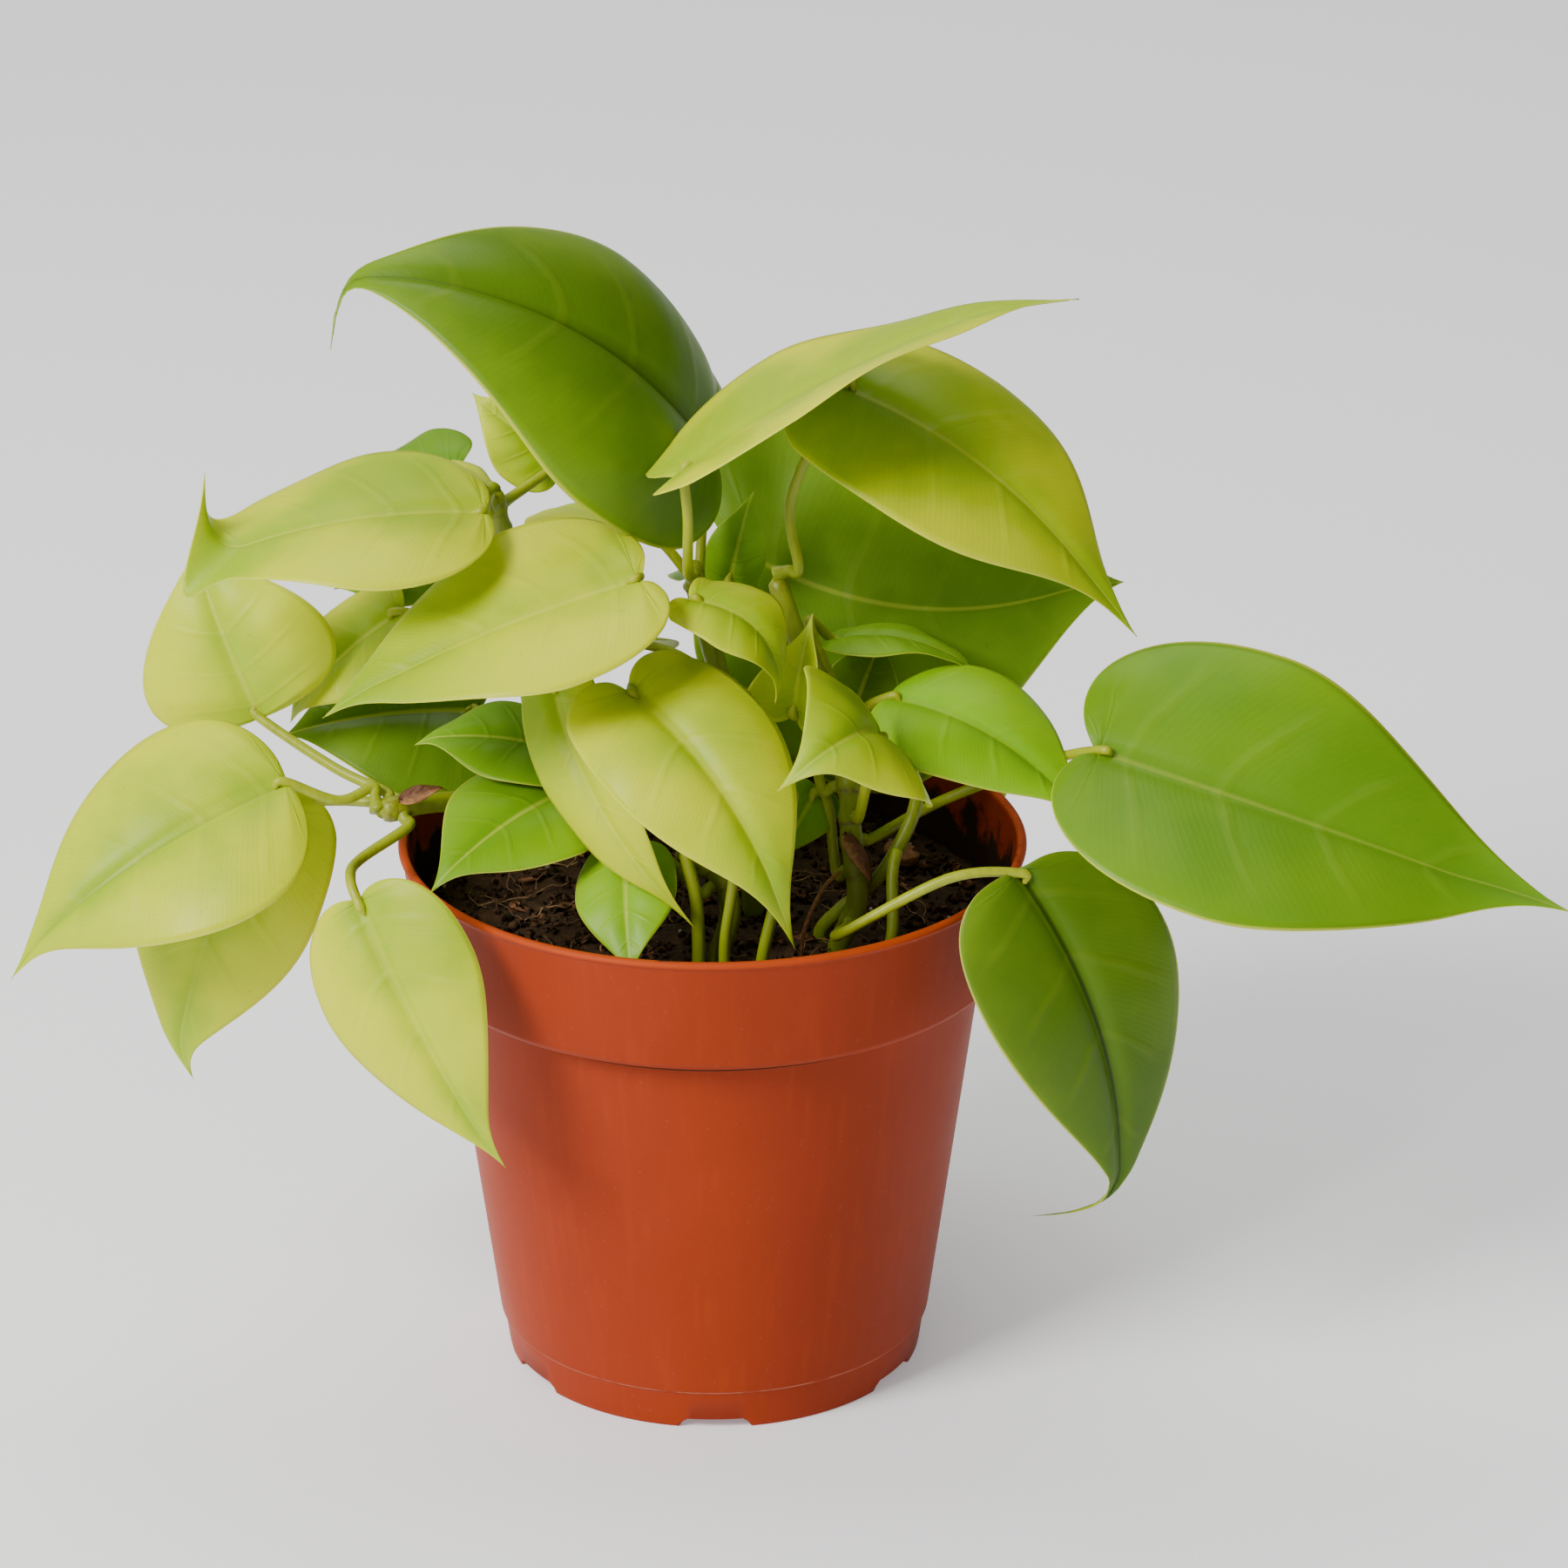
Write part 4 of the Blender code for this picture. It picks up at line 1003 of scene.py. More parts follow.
@dataclass(frozen=True)
class Pot:
    """Nursery pot with a stepped band, a beaded lip and a notched foot ring. Sizes are in mm."""

    height: float = 98.0
    rim_radius: float = 55.0
    bead: float = 0.5
    bead_height: float = 1.4
    band_height: float = 21.0
    band_foot_radius: float = 52.2
    body_top_radius: float = 47.8
    foot_line_height: float = 7.5
    foot_line_radius: float = 38.3
    foot_radius: float = 37.0
    foot_step: float = 0.4
    wall: float = 1.3
    floor_underside: float = 3.0
    floor_thickness: float = 1.8
    foot_ring_width: float = 3.0
    notch_count: int = 6
    notch_width: float = 13.0
    notch_height: float = 1.8
    notch_slope: float = 1.2
    drain_radius: float = 3.5
    drain_inset: float = 6.0
    sides: int = 288
    finish: PotFinish = PotFinish()

    CORNER: ClassVar[float] = 0.35
    LONGEST_RUN: ClassVar[float] = 6.0
    CUTTER_SIDES: ClassVar[int] = 41
    CUTTER_DEPTH: ClassVar[float] = 8.0

    @property
    def step(self) -> float:
        """Height of the band's foot."""
        return self.height - self.band_height

    def outer_radius(self, z: float) -> float:
        """Radius of the body below the band.

        Args:
            z: Height.

        Returns:
            The radius.
        """
        share = (z - self.foot_line_height) / (self.step - self.foot_line_height)
        return self.foot_line_radius + share * (self.body_top_radius - self.foot_line_radius)

    def inner(self) -> list[tuple[float, float]]:
        """Returns the inside of the half section, from the middle of the floor up to the lip."""
        floor_top = self.floor_underside + self.floor_thickness
        return [
            (0.0, floor_top),
            (self.outer_radius(floor_top) - self.wall - 2, floor_top),
            (self.outer_radius(floor_top + 2) - self.wall, floor_top + 2),
            (self.body_top_radius - self.wall, self.step - 2.5 * self.wall),
            (self.band_foot_radius - self.wall, self.step),
            (self.rim_radius - self.wall, self.height - 0.3),
            (self.rim_radius - self.wall + 0.4, self.height),
        ]

    def outer(self) -> list[tuple[float, float]]:
        """Returns the outside of the half section, from the lip down to the middle of the underside."""
        inside_ring = self.foot_radius - self.foot_ring_width
        return [
            (self.rim_radius, self.height),
            (self.rim_radius + self.bead, self.height - self.bead_height / 2),
            (self.rim_radius - 0.2, self.height - self.bead_height),
            (self.band_foot_radius, self.step + 0.6),
            (self.band_foot_radius - 0.8, self.step - 0.4),
            (self.body_top_radius, self.step - 1.8),
            (self.foot_line_radius + self.foot_step, self.foot_line_height + 0.3),
            (self.foot_line_radius - self.foot_step / 2, self.foot_line_height - 0.3),
            (self.foot_radius + 0.25, 1.2),
            (self.foot_radius, 0.0),
            (inside_ring, 0.0),
            (inside_ring - 1.0, self.floor_underside),
            (0.0, self.floor_underside),
        ]

    def rounded(self, profile: list[tuple[float, float]]) -> list[tuple[float, float]]:
        """Rounds the corners of a section and divides its long runs.

        Args:
            profile: Corners of the section.

        Returns:
            A finer section.
        """
        p = [np.array(point) for point in profile]
        fine = [p[0]]
        for before, corner, after in zip(p, p[1:], p[2:]):
            back = min(self.CORNER, 0.45 * np.linalg.norm(before - corner))
            on = min(self.CORNER, 0.45 * np.linalg.norm(after - corner))
            start = corner + (before - corner) / np.linalg.norm(before - corner) * back
            end = corner + (after - corner) / np.linalg.norm(after - corner) * on
            for u in (0.0, 0.25, 0.5, 0.75, 1.0):
                fine.append((1 - u) ** 2 * start + 2 * u * (1 - u) * corner + u**2 * end)
        fine.append(p[-1])
        divided = [fine[0]]
        for a, b in zip(fine, fine[1:]):
            parts = max(1, round(float(np.linalg.norm(b - a)) / self.LONGEST_RUN))
            divided += [a + (b - a) * (i + 1) / parts for i in range(parts)]
        return [(float(r), float(z)) for r, z in divided]

    def notch_lift(self, turn: np.ndarray) -> np.ndarray:
        """Height of the foot's underside at a turn round the axis.

        Args:
            turn: Angle from the +X axis.

        Returns:
            Height, 0 where the ring stands on the floor.
        """
        spacing = 2 * math.pi / self.notch_count
        beside = np.abs((turn + math.pi / 2 + spacing / 2) % spacing - spacing / 2) * self.foot_radius
        return self.notch_height * np.clip((self.notch_width / 2 - beside) / self.notch_slope, 0.0, 1.0)

    def build(self) -> bpy.types.Object:
        """Builds and dresses the pot.

        Returns:
            The object.
        """
        inner = self.rounded(self.inner())
        profile = np.array(inner + self.rounded(self.outer()))
        turn = np.arange(self.sides) * 2 * math.pi / self.sides
        radius, height = profile[:, :1], profile[:, 1:]
        near_foot = (height < self.notch_height) & (radius > self.foot_radius - self.foot_ring_width - 1.2)
        z = np.where(near_foot, np.maximum(height, self.notch_lift(turn)[None, :]), height + 0 * turn)
        points = np.stack([radius * np.cos(turn), radius * np.sin(turn), z], axis=2)
        marks = np.zeros((*points.shape[:2], 4))
        marks[: len(inner), :, 0] = 1.0
        marks[:, :, 1] = height
        shape = Shape()
        shape.grid(points, marks, 0, flip=True, ring=True)
        obj = shape.to_object("pot_body", [self.finish.material("terracotta_plastic")])
        clean_up(obj)
        self.cut_drains(obj)
        return obj

    def cut_drains(self, obj: bpy.types.Object) -> None:
        """Cuts a drain hole in the floor inward of each notch.

        Args:
            obj: The pot.
        """
        reach = self.foot_radius - self.foot_ring_width - 1 - self.drain_inset
        radius = self.drain_radius * MM
        made = bmesh.new()
        for i in range(self.notch_count):
            angle = -math.pi / 2 + i * 2 * math.pi / self.notch_count
            height = self.floor_underside + self.floor_thickness / 2
            middle = (reach * math.cos(angle), reach * math.sin(angle), height)
            matrix = Matrix.Translation(Vector(middle) * MM + AXIS)
            bmesh.ops.create_cone(made, cap_ends=True, segments=self.CUTTER_SIDES, radius1=radius,
                                  radius2=radius, depth=self.CUTTER_DEPTH * MM, matrix=matrix)
        data = bpy.data.meshes.new("drains")
        made.to_mesh(data)
        made.free()
        cutter = bpy.data.objects.new("drains", data)
        bpy.context.scene.collection.objects.link(cutter)
        change = obj.modifiers.new("drains", "BOOLEAN")
        change.operation = "DIFFERENCE"
        change.object = cutter
        bpy.context.view_layer.update()
        evaluated = obj.evaluated_get(bpy.context.evaluated_depsgraph_get())
        obj.data = bpy.data.meshes.new_from_object(evaluated)
        obj.modifiers.clear()
        bpy.data.objects.remove(cutter)


def clean_up(obj: bpy.types.Object) -> None:
    """Joins coincident points and turns all faces out.

    Args:
        obj: A closed mesh object.
    """
    made = bmesh.new()
    made.from_mesh(obj.data)
    bmesh.ops.remove_doubles(made, verts=made.verts, dist=1e-7)
    bmesh.ops.recalc_face_normals(made, faces=made.faces)
    made.to_mesh(obj.data)
    made.free()


def crumb_size(chance: np.random.Generator) -> np.ndarray:
    """Picks the half lengths of a crumb of peat.

    Args:
        chance: Source of random numbers.

    Returns:
        Three half lengths in mm.
    """
    return chance.uniform(0.35, 1.25) * chance.uniform(0.6, 1.2, 3)


def flake_size(chance: np.random.Generator) -> np.ndarray:
    """Picks the half lengths of a flat flake of bark.

    Args:
        chance: Source of random numbers.

    Returns:
        Three half lengths in mm.
    """
    return np.array((chance.uniform(1.5, 3.6), chance.uniform(0.8, 1.7), chance.uniform(0.3, 0.7)))


def grain_size(chance: np.random.Generator) -> np.ndarray:
    """Picks the half lengths of a round pale grain.

    Args:
        chance: Source of random numbers.

    Returns:
        Three half lengths in mm.
    """
    return np.full(3, chance.uniform(0.4, 0.8))


@dataclass(frozen=True)
class Soil:
    """Potting soil: a rough bed with crumbs, bark flakes, fibres and a few pale grains. Sizes are in mm."""

    pot: Pot = Pot()
    below_rim: float = 13.0
    crown: float = 1.5
    rings: int = 44
    sides: int = 132
    crumbs: int = 1500
    flakes: int = 90
    fibres: int = 130
    grains: int = 16
    bed: GroundFinish = GroundFinish((0.014, 0.006, 0.002), (0.085, 0.038, 0.014), 420.0, 0.0012, 0.88)
    flake: GroundFinish = GroundFinish((0.050, 0.018, 0.006), (0.33, 0.150, 0.062), 900.0, 0.0006, 0.85)
    fibre: GroundFinish = GroundFinish((0.05, 0.022, 0.010), (0.30, 0.17, 0.09), 900.0, 0.0001, 0.8)
    grain: GroundFinish = GroundFinish((0.35, 0.31, 0.26), (0.70, 0.66, 0.60), 900.0, 0.0002, 0.8)

    DIP_DEPTH: ClassVar[float] = 3.2
    ROUGH_SPACING: ClassVar[float] = 9.0
    ROUGH_HEIGHT: ClassVar[float] = 0.9
    FINE_SPACING: ClassVar[float] = 2.4
    FINE_HEIGHT: ClassVar[float] = 0.55
    GAP: ClassVar[float] = 0.6
    LIFT: ClassVar[float] = 0.3
    SCATTER_REACH: ClassVar[float] = 0.97
    FIBRE_POINTS: ClassVar[int] = 7
    FIBRE_STEP: ClassVar[float] = 1.6
    FIBRE_TURN: ClassVar[float] = 0.6

    @property
    def radius(self) -> float:
        """Radius of the surface."""
        return self.pot.rim_radius - self.pot.wall - 2.0

    def level(self, x: float, y: float) -> float:
        """Height of the bed at a place, before its dip and its roughness.

        Args:
            x: Place across.
            y: Place in depth.

        Returns:
            The height.
        """
        share = min(1.0, math.hypot(x, y) / self.pot.body_top_radius)
        return self.pot.height - self.below_rim + self.crown * (1 - share**2)

    def height(self, x: float, y: float) -> float:
        """Height of the bed at a place.

        Args:
            x: Place across.
            y: Place in depth.

        Returns:
            The height.
        """
        dip = self.DIP_DEPTH * max(0.0, min(1.0, (x - 12) / 28)) * max(0.0, 1.0 - abs(y - 2) / 60)
        coarse = noise.noise(Vector((x / self.ROUGH_SPACING, y / self.ROUGH_SPACING, 3.1)))
        fine = noise.fractal(Vector((x / self.FINE_SPACING, y / self.FINE_SPACING, 7.7)), 0.8, 2.1, 4)
        return self.level(x, y) - dip + self.ROUGH_HEIGHT * coarse + self.FINE_HEIGHT * fine - 0.5

    def add_bed(self, shape: Shape) -> None:
        """Adds the closed bed.

        Args:
            shape: Shape that takes it.
        """
        turn = np.arange(self.sides) * 2 * math.pi / self.sides
        reach = np.linspace(0.0, 1.0, self.rings) ** 0.8 * self.radius
        top = []
        for r in reach:
            places = [(r * math.cos(a), r * math.sin(a)) for a in turn]
            top.append([(x, y, self.height(x, y)) for x, y in places])
        pot = self.pot
        floor_top = pot.floor_underside + pot.floor_thickness
        lower = [
            (pot.band_foot_radius - pot.wall - self.GAP, pot.step + self.LIFT),
            (pot.body_top_radius - pot.wall - self.GAP, pot.step - 2.5 * pot.wall + self.LIFT),
            (pot.outer_radius(floor_top + 2) - pot.wall - self.GAP, floor_top + 2 + self.LIFT),
            (pot.outer_radius(floor_top) - pot.wall - 2 - self.GAP, floor_top + self.LIFT),
            (0.0, floor_top + self.LIFT),
        ]
        for r, z in lower:
            top.append([(r * math.cos(a), r * math.sin(a), z) for a in turn])
        points = np.array(top)
        marks = np.zeros((*points.shape[:2], 4))
        marks[:, :, 0] = 0.25
        shape.grid(points, marks, SoilSkin.BED, ring=True)

    def add_lump(self, shape: Shape, middle: np.ndarray, size: np.ndarray, finish: int,
                 chance: np.random.Generator) -> None:
        """Adds one broken lump.

        Args:
            shape: Shape that takes it.
            middle: Its middle.
            size: Its half lengths.
            finish: Index of its finish.
            chance: Source of random numbers.
        """
        golden = (1 + 5**0.5) / 2
        corners = np.array([(0, a, b * golden) for a in (-1, 1) for b in (-1, 1)])
        corners = np.concatenate([np.roll(corners, i, axis=1) for i in range(3)]) / 1.9
        corners = corners * chance.uniform(0.72, 1.2, (12, 1)) * size
        turn = Matrix.Rotation(chance.uniform(0, 6.3), 3, "Z")
        turn = turn @ Matrix.Rotation(chance.uniform(-0.5, 0.5), 3, "X")
        corners = corners @ np.array(turn).T + middle
        marks = np.zeros((len(corners), 4))
        marks[:, 0] = chance.uniform(0, 1)
        first = shape.add_points(corners, marks)
        shape.add_faces([[first + i for i in face] for face in LUMP_FACES], finish)

    def scatter(self, shape: Shape, chance: np.random.Generator, count: int, lift: float, finish: int,
                size: Callable[[np.random.Generator], np.ndarray]) -> None:
        """Strews lumps of one kind over the bed.

        Args:
            shape: Shape that takes them.
            chance: Source of random numbers.
            count: How many there are.
            lift: How far their middles are above the bed.
            finish: Index of their finish.
            size: Picks the half lengths of a lump.
        """
        for _ in range(count):
            x, y = self.spot(chance)
            self.add_lump(shape, np.array((x, y, self.height(x, y) + lift)), size(chance), finish, chance)

    def spot(self, chance: np.random.Generator) -> tuple[float, float]:
        """Picks a random place on the surface.

        Args:
            chance: Source of random numbers.

        Returns:
            Its x and y.
        """
        angle = chance.uniform(0, 2 * math.pi)
        reach = self.radius * self.SCATTER_REACH * math.sqrt(chance.uniform(0, 1))
        return reach * math.cos(angle), reach * math.sin(angle)

    def build(self) -> bpy.types.Object:
        """Builds and dresses the soil.

        Returns:
            The object.
        """
        chance = np.random.default_rng(seed_of("soil"))
        shape = Shape()
        self.add_bed(shape)
        self.scatter(shape, chance, self.crumbs, 0.2, SoilSkin.BED, crumb_size)
        self.scatter(shape, chance, self.flakes, 0.5, SoilSkin.FLAKE, flake_size)
        self.scatter(shape, chance, self.grains, 0.4, SoilSkin.GRAIN, grain_size)
        for _ in range(self.fibres):
            self.add_fibre(shape, chance)
        looks = [self.bed.material("peat"), self.flake.material("bark_flakes"),
                 self.fibre.material("fibres"), self.grain.material("grains")]
        return shape.to_object("soil_bed", looks)

    def add_fibre(self, shape: Shape, chance: np.random.Generator) -> None:
        """Adds one thin curved fibre lying on the bed.

        Args:
            shape: Shape that takes it.
            chance: Source of random numbers.
        """
        x, y = self.spot(chance)
        turn = chance.uniform(0, 2 * math.pi)
        route = []
        for _ in range(self.FIBRE_POINTS):
            inside = min(1.0, self.radius * self.SCATTER_REACH / max(1e-6, math.hypot(x, y)))
            x, y = x * inside, y * inside
            route.append((x, y, self.height(x, y) + 0.5 + chance.uniform(0, 0.5)))
            turn += chance.uniform(-self.FIBRE_TURN, self.FIBRE_TURN)
            x += self.FIBRE_STEP * math.cos(turn)
            y += self.FIBRE_STEP * math.sin(turn)
        route = smooth_route(np.array(route), 3)
        radii = np.full(len(route), chance.uniform(0.07, 0.17))
        marks = np.full((len(route), 2), chance.uniform(0, 1))
        shape.tube(route, radii, 5, SoilSkin.FIBRE, marks)


LUMP_FACES = [list(face) for face in (
    (0, 2, 8), (0, 8, 4), (0, 4, 6), (0, 6, 9), (0, 9, 2), (2, 7, 5), (2, 5, 8), (2, 9, 7), (8, 5, 10),
    (8, 10, 4), (10, 5, 3), (10, 3, 1), (10, 1, 4), (1, 6, 4), (1, 3, 11), (6, 1, 11), (6, 11, 9),
    (11, 3, 7), (5, 7, 3), (9, 11, 7))]


# ------------------------------------------------------------------ plant


class Stem:
    """Stem with swollen, scarred nodes. Sizes are in mm."""

    SIDES = 20
    PER_SPAN = 14
    SOIL_DEPTH = 3.0
    SWELLING = 0.32
    SWELLING_SPREAD = 1.3
    SCAR_BELOW_NODE = 1.2
    SCAR_SPREAD = 0.5

    def __init__(self, plan: StemPlan, nodes: list[float], soil: Soil) -> None:
        """Takes a stem's plan.

        Args:
            plan: Its plan.
            nodes: Shares of its length where leaves leave it.
            soil: Soil that it grows from.
        """
        self.plan = plan
        self.nodes = nodes
        x, y = plan.root
        self.points = [(x, y, soil.level(x, y) + plan.radius / 2 + soil.LIFT), *plan.route]

    def coarse_line(self) -> np.ndarray:
        """Returns the middle line in the steps that the stalks are placed by."""
        return smooth_route(np.array(self.points, float), 2)

    def build(self, finish: bpy.types.Material) -> bpy.types.Object:
        """Builds and dresses the stem.

        Args:
            finish: Its material.

        Returns:
            The object.
        """
        foot = np.array(self.points[0]) - (0, 0, self.SOIL_DEPTH)
        line = smooth_route(np.array([foot, *self.points], float), self.PER_SPAN)
        along = np.linspace(0, 1, len(line))
        radii = np.full(len(line), self.plan.radius) * (1.02 - 0.10 * along)
        scars = np.zeros(len(line))
        length = np.linalg.norm(np.diff(line, axis=0), axis=1).sum()
        first = 1 / len(self.points)
        for share in [first + (1 - first) * node for node in self.nodes]:
            beside = (along - share) * length
            radii += self.SWELLING * np.exp(-((beside / self.SWELLING_SPREAD) ** 2))
            scars += 0.8 * np.exp(-(((beside + self.SCAR_BELOW_NODE) / self.SCAR_SPREAD) ** 2))
        cap = np.clip((1 - along) * length / self.plan.radius, 0.0, 1.0)
        radii *= np.sqrt(1 - (1 - cap) ** 2) * 0.98 + 0.02
        marks = np.stack([0.15 + 0.55 * along, np.clip(scars, 0, 1)], axis=1)
        shape = Shape()
        shape.tube(line, radii, self.SIDES, 0, marks)
        return shape.to_object(self.plan.name + "_skin", [finish])


class Leaf:
    """Heart-shaped blade with its midrib, and the stalk that carries it. Sizes are in mm."""

    ROWS = 72
    COLUMNS = 15
    STALK_SIDES = 14
    STALK_RADIUS = 0.95
    THICKNESS = 0.34
    MARGIN_THICKNESS = 0.14
    RIB_HEIGHT = 0.55
    RIB_WIDTH = 0.55
    CREASE_WIDTH = 1.5
    RIPPLES = 7
    WAVES = 2.5
    CORNER_AT = 0.87
    CORNER_SPREAD = 0.06
    CURL_FROM = 0.93
    STALK_SETBACK = 2.5
    STALK_RUN = 2.0
    STALK_FLARE = 0.55
    SHEATH_SCAR_AT = 0.14
    INTO_BLADE = 2.2
    BELOW_BLADE = 0.35

    def __init__(self, plan: LeafPlan, detail: LeafDetail) -> None:
        """Takes a leaf's plan.

        Args:
            plan: Its plan.
            detail: Its fine shape.
        """
        self.plan = plan
        self.detail = detail
        self.base = np.array(plan.base, float)
        chord = np.array(plan.tip, float) - self.base
        self.length = float(np.linalg.norm(chord))
        self.ahead = chord / self.length
        face = np.array(plan.face, float)
        face -= self.ahead * face.dot(self.ahead)
        self.face = face / np.linalg.norm(face)
        self.right = np.cross(self.ahead, self.face)
        self.phase = (seed_of(plan.name) % 100) / 100

    def surface(self, t: np.ndarray, across: np.ndarray) -> tuple[np.ndarray, np.ndarray, np.ndarray]:
        """Middle surface of the blade.

        Args:
            t: Place round the margin, 0 at the notch and 1 at the tip.
            across: -1 at the left margin, 0 on the midrib and 1 at the right margin.

        Returns:
            Points, distances from the midrib, and shares of the length.
        """
        p, d = self.plan, self.detail
        # Flat outline, with rows that follow the arched side veins
        q = np.abs(across)
        margin_out, margin_along = heart_margin(t, p.lobe)
        vein_root = np.maximum(0.0, (t - 0.35) / 0.65) ** 1.15
        out = across * margin_out * p.width / 2
        share = vein_root + (margin_along - vein_root) * q**1.3
        # Bow, cup and droop of the whole blade
        bow = np.where(share > 0, 4 * share * (1 - share), share)
        lift = p.arch * self.length * bow + p.cup * out**2 / (p.width / 2)
        lift = lift - p.droop * self.length * np.maximum(0.0, 4 * share - 3) ** 2
        # Bulge of the halves, crease of the midrib, and waves
        half = 4 * q * (1 - q) * margin_out
        lift = lift + d.puff * p.width / 2 * half
        lift = lift - d.crease * np.exp(-((out / self.CREASE_WIDTH) ** 2)) * (1 - 0.6 * np.clip(share, 0, 1))
        lift = lift + 0.10 * np.sin(2 * math.pi * self.RIPPLES * t) * half
        ripple = np.sin(2 * math.pi * (self.WAVES * t + self.phase + 0.3 * np.sign(across)))
        lift = lift + d.wave * ripple * q**4 * np.sin(math.pi * t)
        # Dropped corner, sideways sweep and curled point
        near_corner = np.exp(-(((t - self.CORNER_AT) / self.CORNER_SPREAD) ** 2))
        fallen = d.corner * np.clip(-across, 0, 1) ** 2 * near_corner
        lift, out = lift - fallen, out - 0.5 * fallen
        out = out + p.sweep * self.length * bow
        hooked = np.clip((share - d.hook_from) / (1 - d.hook_from), 0, 1) ** 2
        lift = lift + d.hook[0] * hooked
        aside = out + d.hook[1] * hooked
        onward = share * self.length + d.hook[2] * hooked + fallen
        points = self.base + self.ahead * onward[..., None]
        points = points + self.right * aside[..., None] + self.face * lift[..., None]
        curled = np.clip((share - self.CURL_FROM) / (1 - self.CURL_FROM), 0, 1) ** 2
        points = points + np.array(d.curl) * curled[..., None]
        return points, across * margin_out * p.width / 2, share

    def normals(self, points: np.ndarray) -> np.ndarray:
        """Normals of a grid of points, looking to the leaf's face.

        Args:
            points: Rows, columns and coordinates.

        Returns:
            One unit vector per point.
        """
        found = np.cross(np.gradient(points, axis=0), np.gradient(points, axis=1))
        size = np.linalg.norm(found, axis=2, keepdims=True)
        found = np.where(size > 1e-9, found / np.maximum(size, 1e-12), self.face)
        middle = found[found.shape[0] // 2, found.shape[1] // 4]
        return found * (1.0 if middle.dot(self.face) > 0 else -1.0)

    def add_blade(self, shape: Shape) -> None:
        """Adds the blade: upper skin, lower skin and margin.

        Args:
            shape: Shape that takes it.
        """
        rows = np.linspace(0, 1, self.ROWS)
        half = np.linspace(0, 1, self.COLUMNS) ** 0.9
        columns = np.concatenate([-half[:0:-1], half])
        t, across = np.meshgrid(rows, columns, indexing="ij")
        middle, out, share = self.surface(t, across)
        normals = self.normals(middle)
        edge = np.abs(across) ** 3
        thick = self.THICKNESS * (1 - edge) + self.MARGIN_THICKNESS * edge
        rib = self.RIB_HEIGHT * np.exp(-((out / self.RIB_WIDTH) ** 2)) * np.clip(1 - share, 0, 1) ** 0.7
        top = middle + normals * (thick / 2)[..., None]
        under = middle - normals * (thick / 2 + rib)[..., None]
        marks = np.stack([across, t, out, share], axis=2)
        here = middle[40, 5]
        facing = np.cross(here - middle[41, 5], here - middle[40, 6]).dot(normals[40, 5])
        first = shape.grid(top, marks, LeafSkin.UPPER, flip=facing < 0)
        second = shape.grid(under, marks, LeafSkin.LOWER, flip=facing > 0)
        width = len(columns)
        sides = []
        for i in range(self.ROWS - 1):
            for j, turned in ((0, facing < 0), (width - 1, facing > 0)):
                a, b = i * width + j, (i + 1) * width + j
                quad = [first + a, first + b, second + b, second + a]
                sides.append(quad[::-1] if turned else quad)
        shape.add_faces(sides, LeafSkin.UPPER)

    def stalk_line(self, stem: np.ndarray) -> np.ndarray:
        """Middle line of the stalk, from inside its stem into the notch.

        Args:
            stem: Middle line of the stem.

        Returns:
            Its points.
        """
        place = self.plan.at * (len(stem) - 1)
        index = min(int(place), len(stem) - 2)
        spot = stem[index] + (place - index) * (stem[index + 1] - stem[index])
        along = stem[index + 1] - stem[index]
        along = along / np.linalg.norm(along)
        via = [np.array(point, float) for point in (*self.plan.via, self.plan.base)]
        out = via[0] - spot
        out -= along * out.dot(along)
        out /= np.linalg.norm(out)
        start = spot + out * self.STALK_SETBACK
        inner, _, _ = self.surface(np.array(0.6), np.array(0.0))
        into = via[-1] + (inner - via[-1]) / np.linalg.norm(inner - via[-1]) * self.INTO_BLADE
        into = into - self.face * self.BELOW_BLADE
        return smooth_route(np.array([spot, start, start + out * self.STALK_RUN, *via, into]), 8)

    def add_stalk(self, shape: Shape, stem: np.ndarray) -> None:
        """Adds the stalk, which clasps the stem with a wider foot.

        Args:
            shape: Shape that takes it.
            stem: Middle line of the stem.
        """
        line = self.stalk_line(stem)
        along = np.linspace(0, 1, len(line))
        radii = self.STALK_RADIUS * (1.12 - 0.25 * along)
        radii = radii + self.STALK_FLARE * np.exp(-((along / 0.12) ** 2))
        radii[-6:] *= np.linspace(1.0, 0.45, 6)
        scar = 0.35 * np.exp(-(((along - self.SHEATH_SCAR_AT) / 0.02) ** 2))
        marks = np.stack([0.35 + 0.6 * along, scar], axis=1)
        shape.tube(line, radii, self.STALK_SIDES, LeafSkin.STALK, marks)

    def build(self, stem: np.ndarray, skin: bpy.types.Material) -> bpy.types.Object:
        """Builds and dresses the leaf.

        Args:
            stem: Middle line of its stem.
            skin: Material of its stalk.

        Returns:
            The object.
        """
        look = LEAF_FINISHES[self.detail.skin or self.plan.tone]
        looks = [side.material(self.plan.name, self.detail) for side in (look, look.lower())]
        looks.append(skin)
        shape = Shape()
        self.add_blade(shape)
        self.add_stalk(shape, stem)
        return shape.to_object(self.plan.name + "_blade", looks)


class Sheath(Leaf):
    """Dry brown sheath that a new leaf has left beside its stem."""

    ROWS = 44
    COLUMNS = 7
    THICKNESS = 0.22

    def build_dry(self, finish: bpy.types.Material) -> bpy.types.Object:
        """Builds and dresses the sheath.

        Args:
            finish: Its material.

        Returns:
            The object.
        """
        shape = Shape()
        self.add_blade(shape)
        return shape.to_object(self.plan.name + "_husk", [finish, finish])


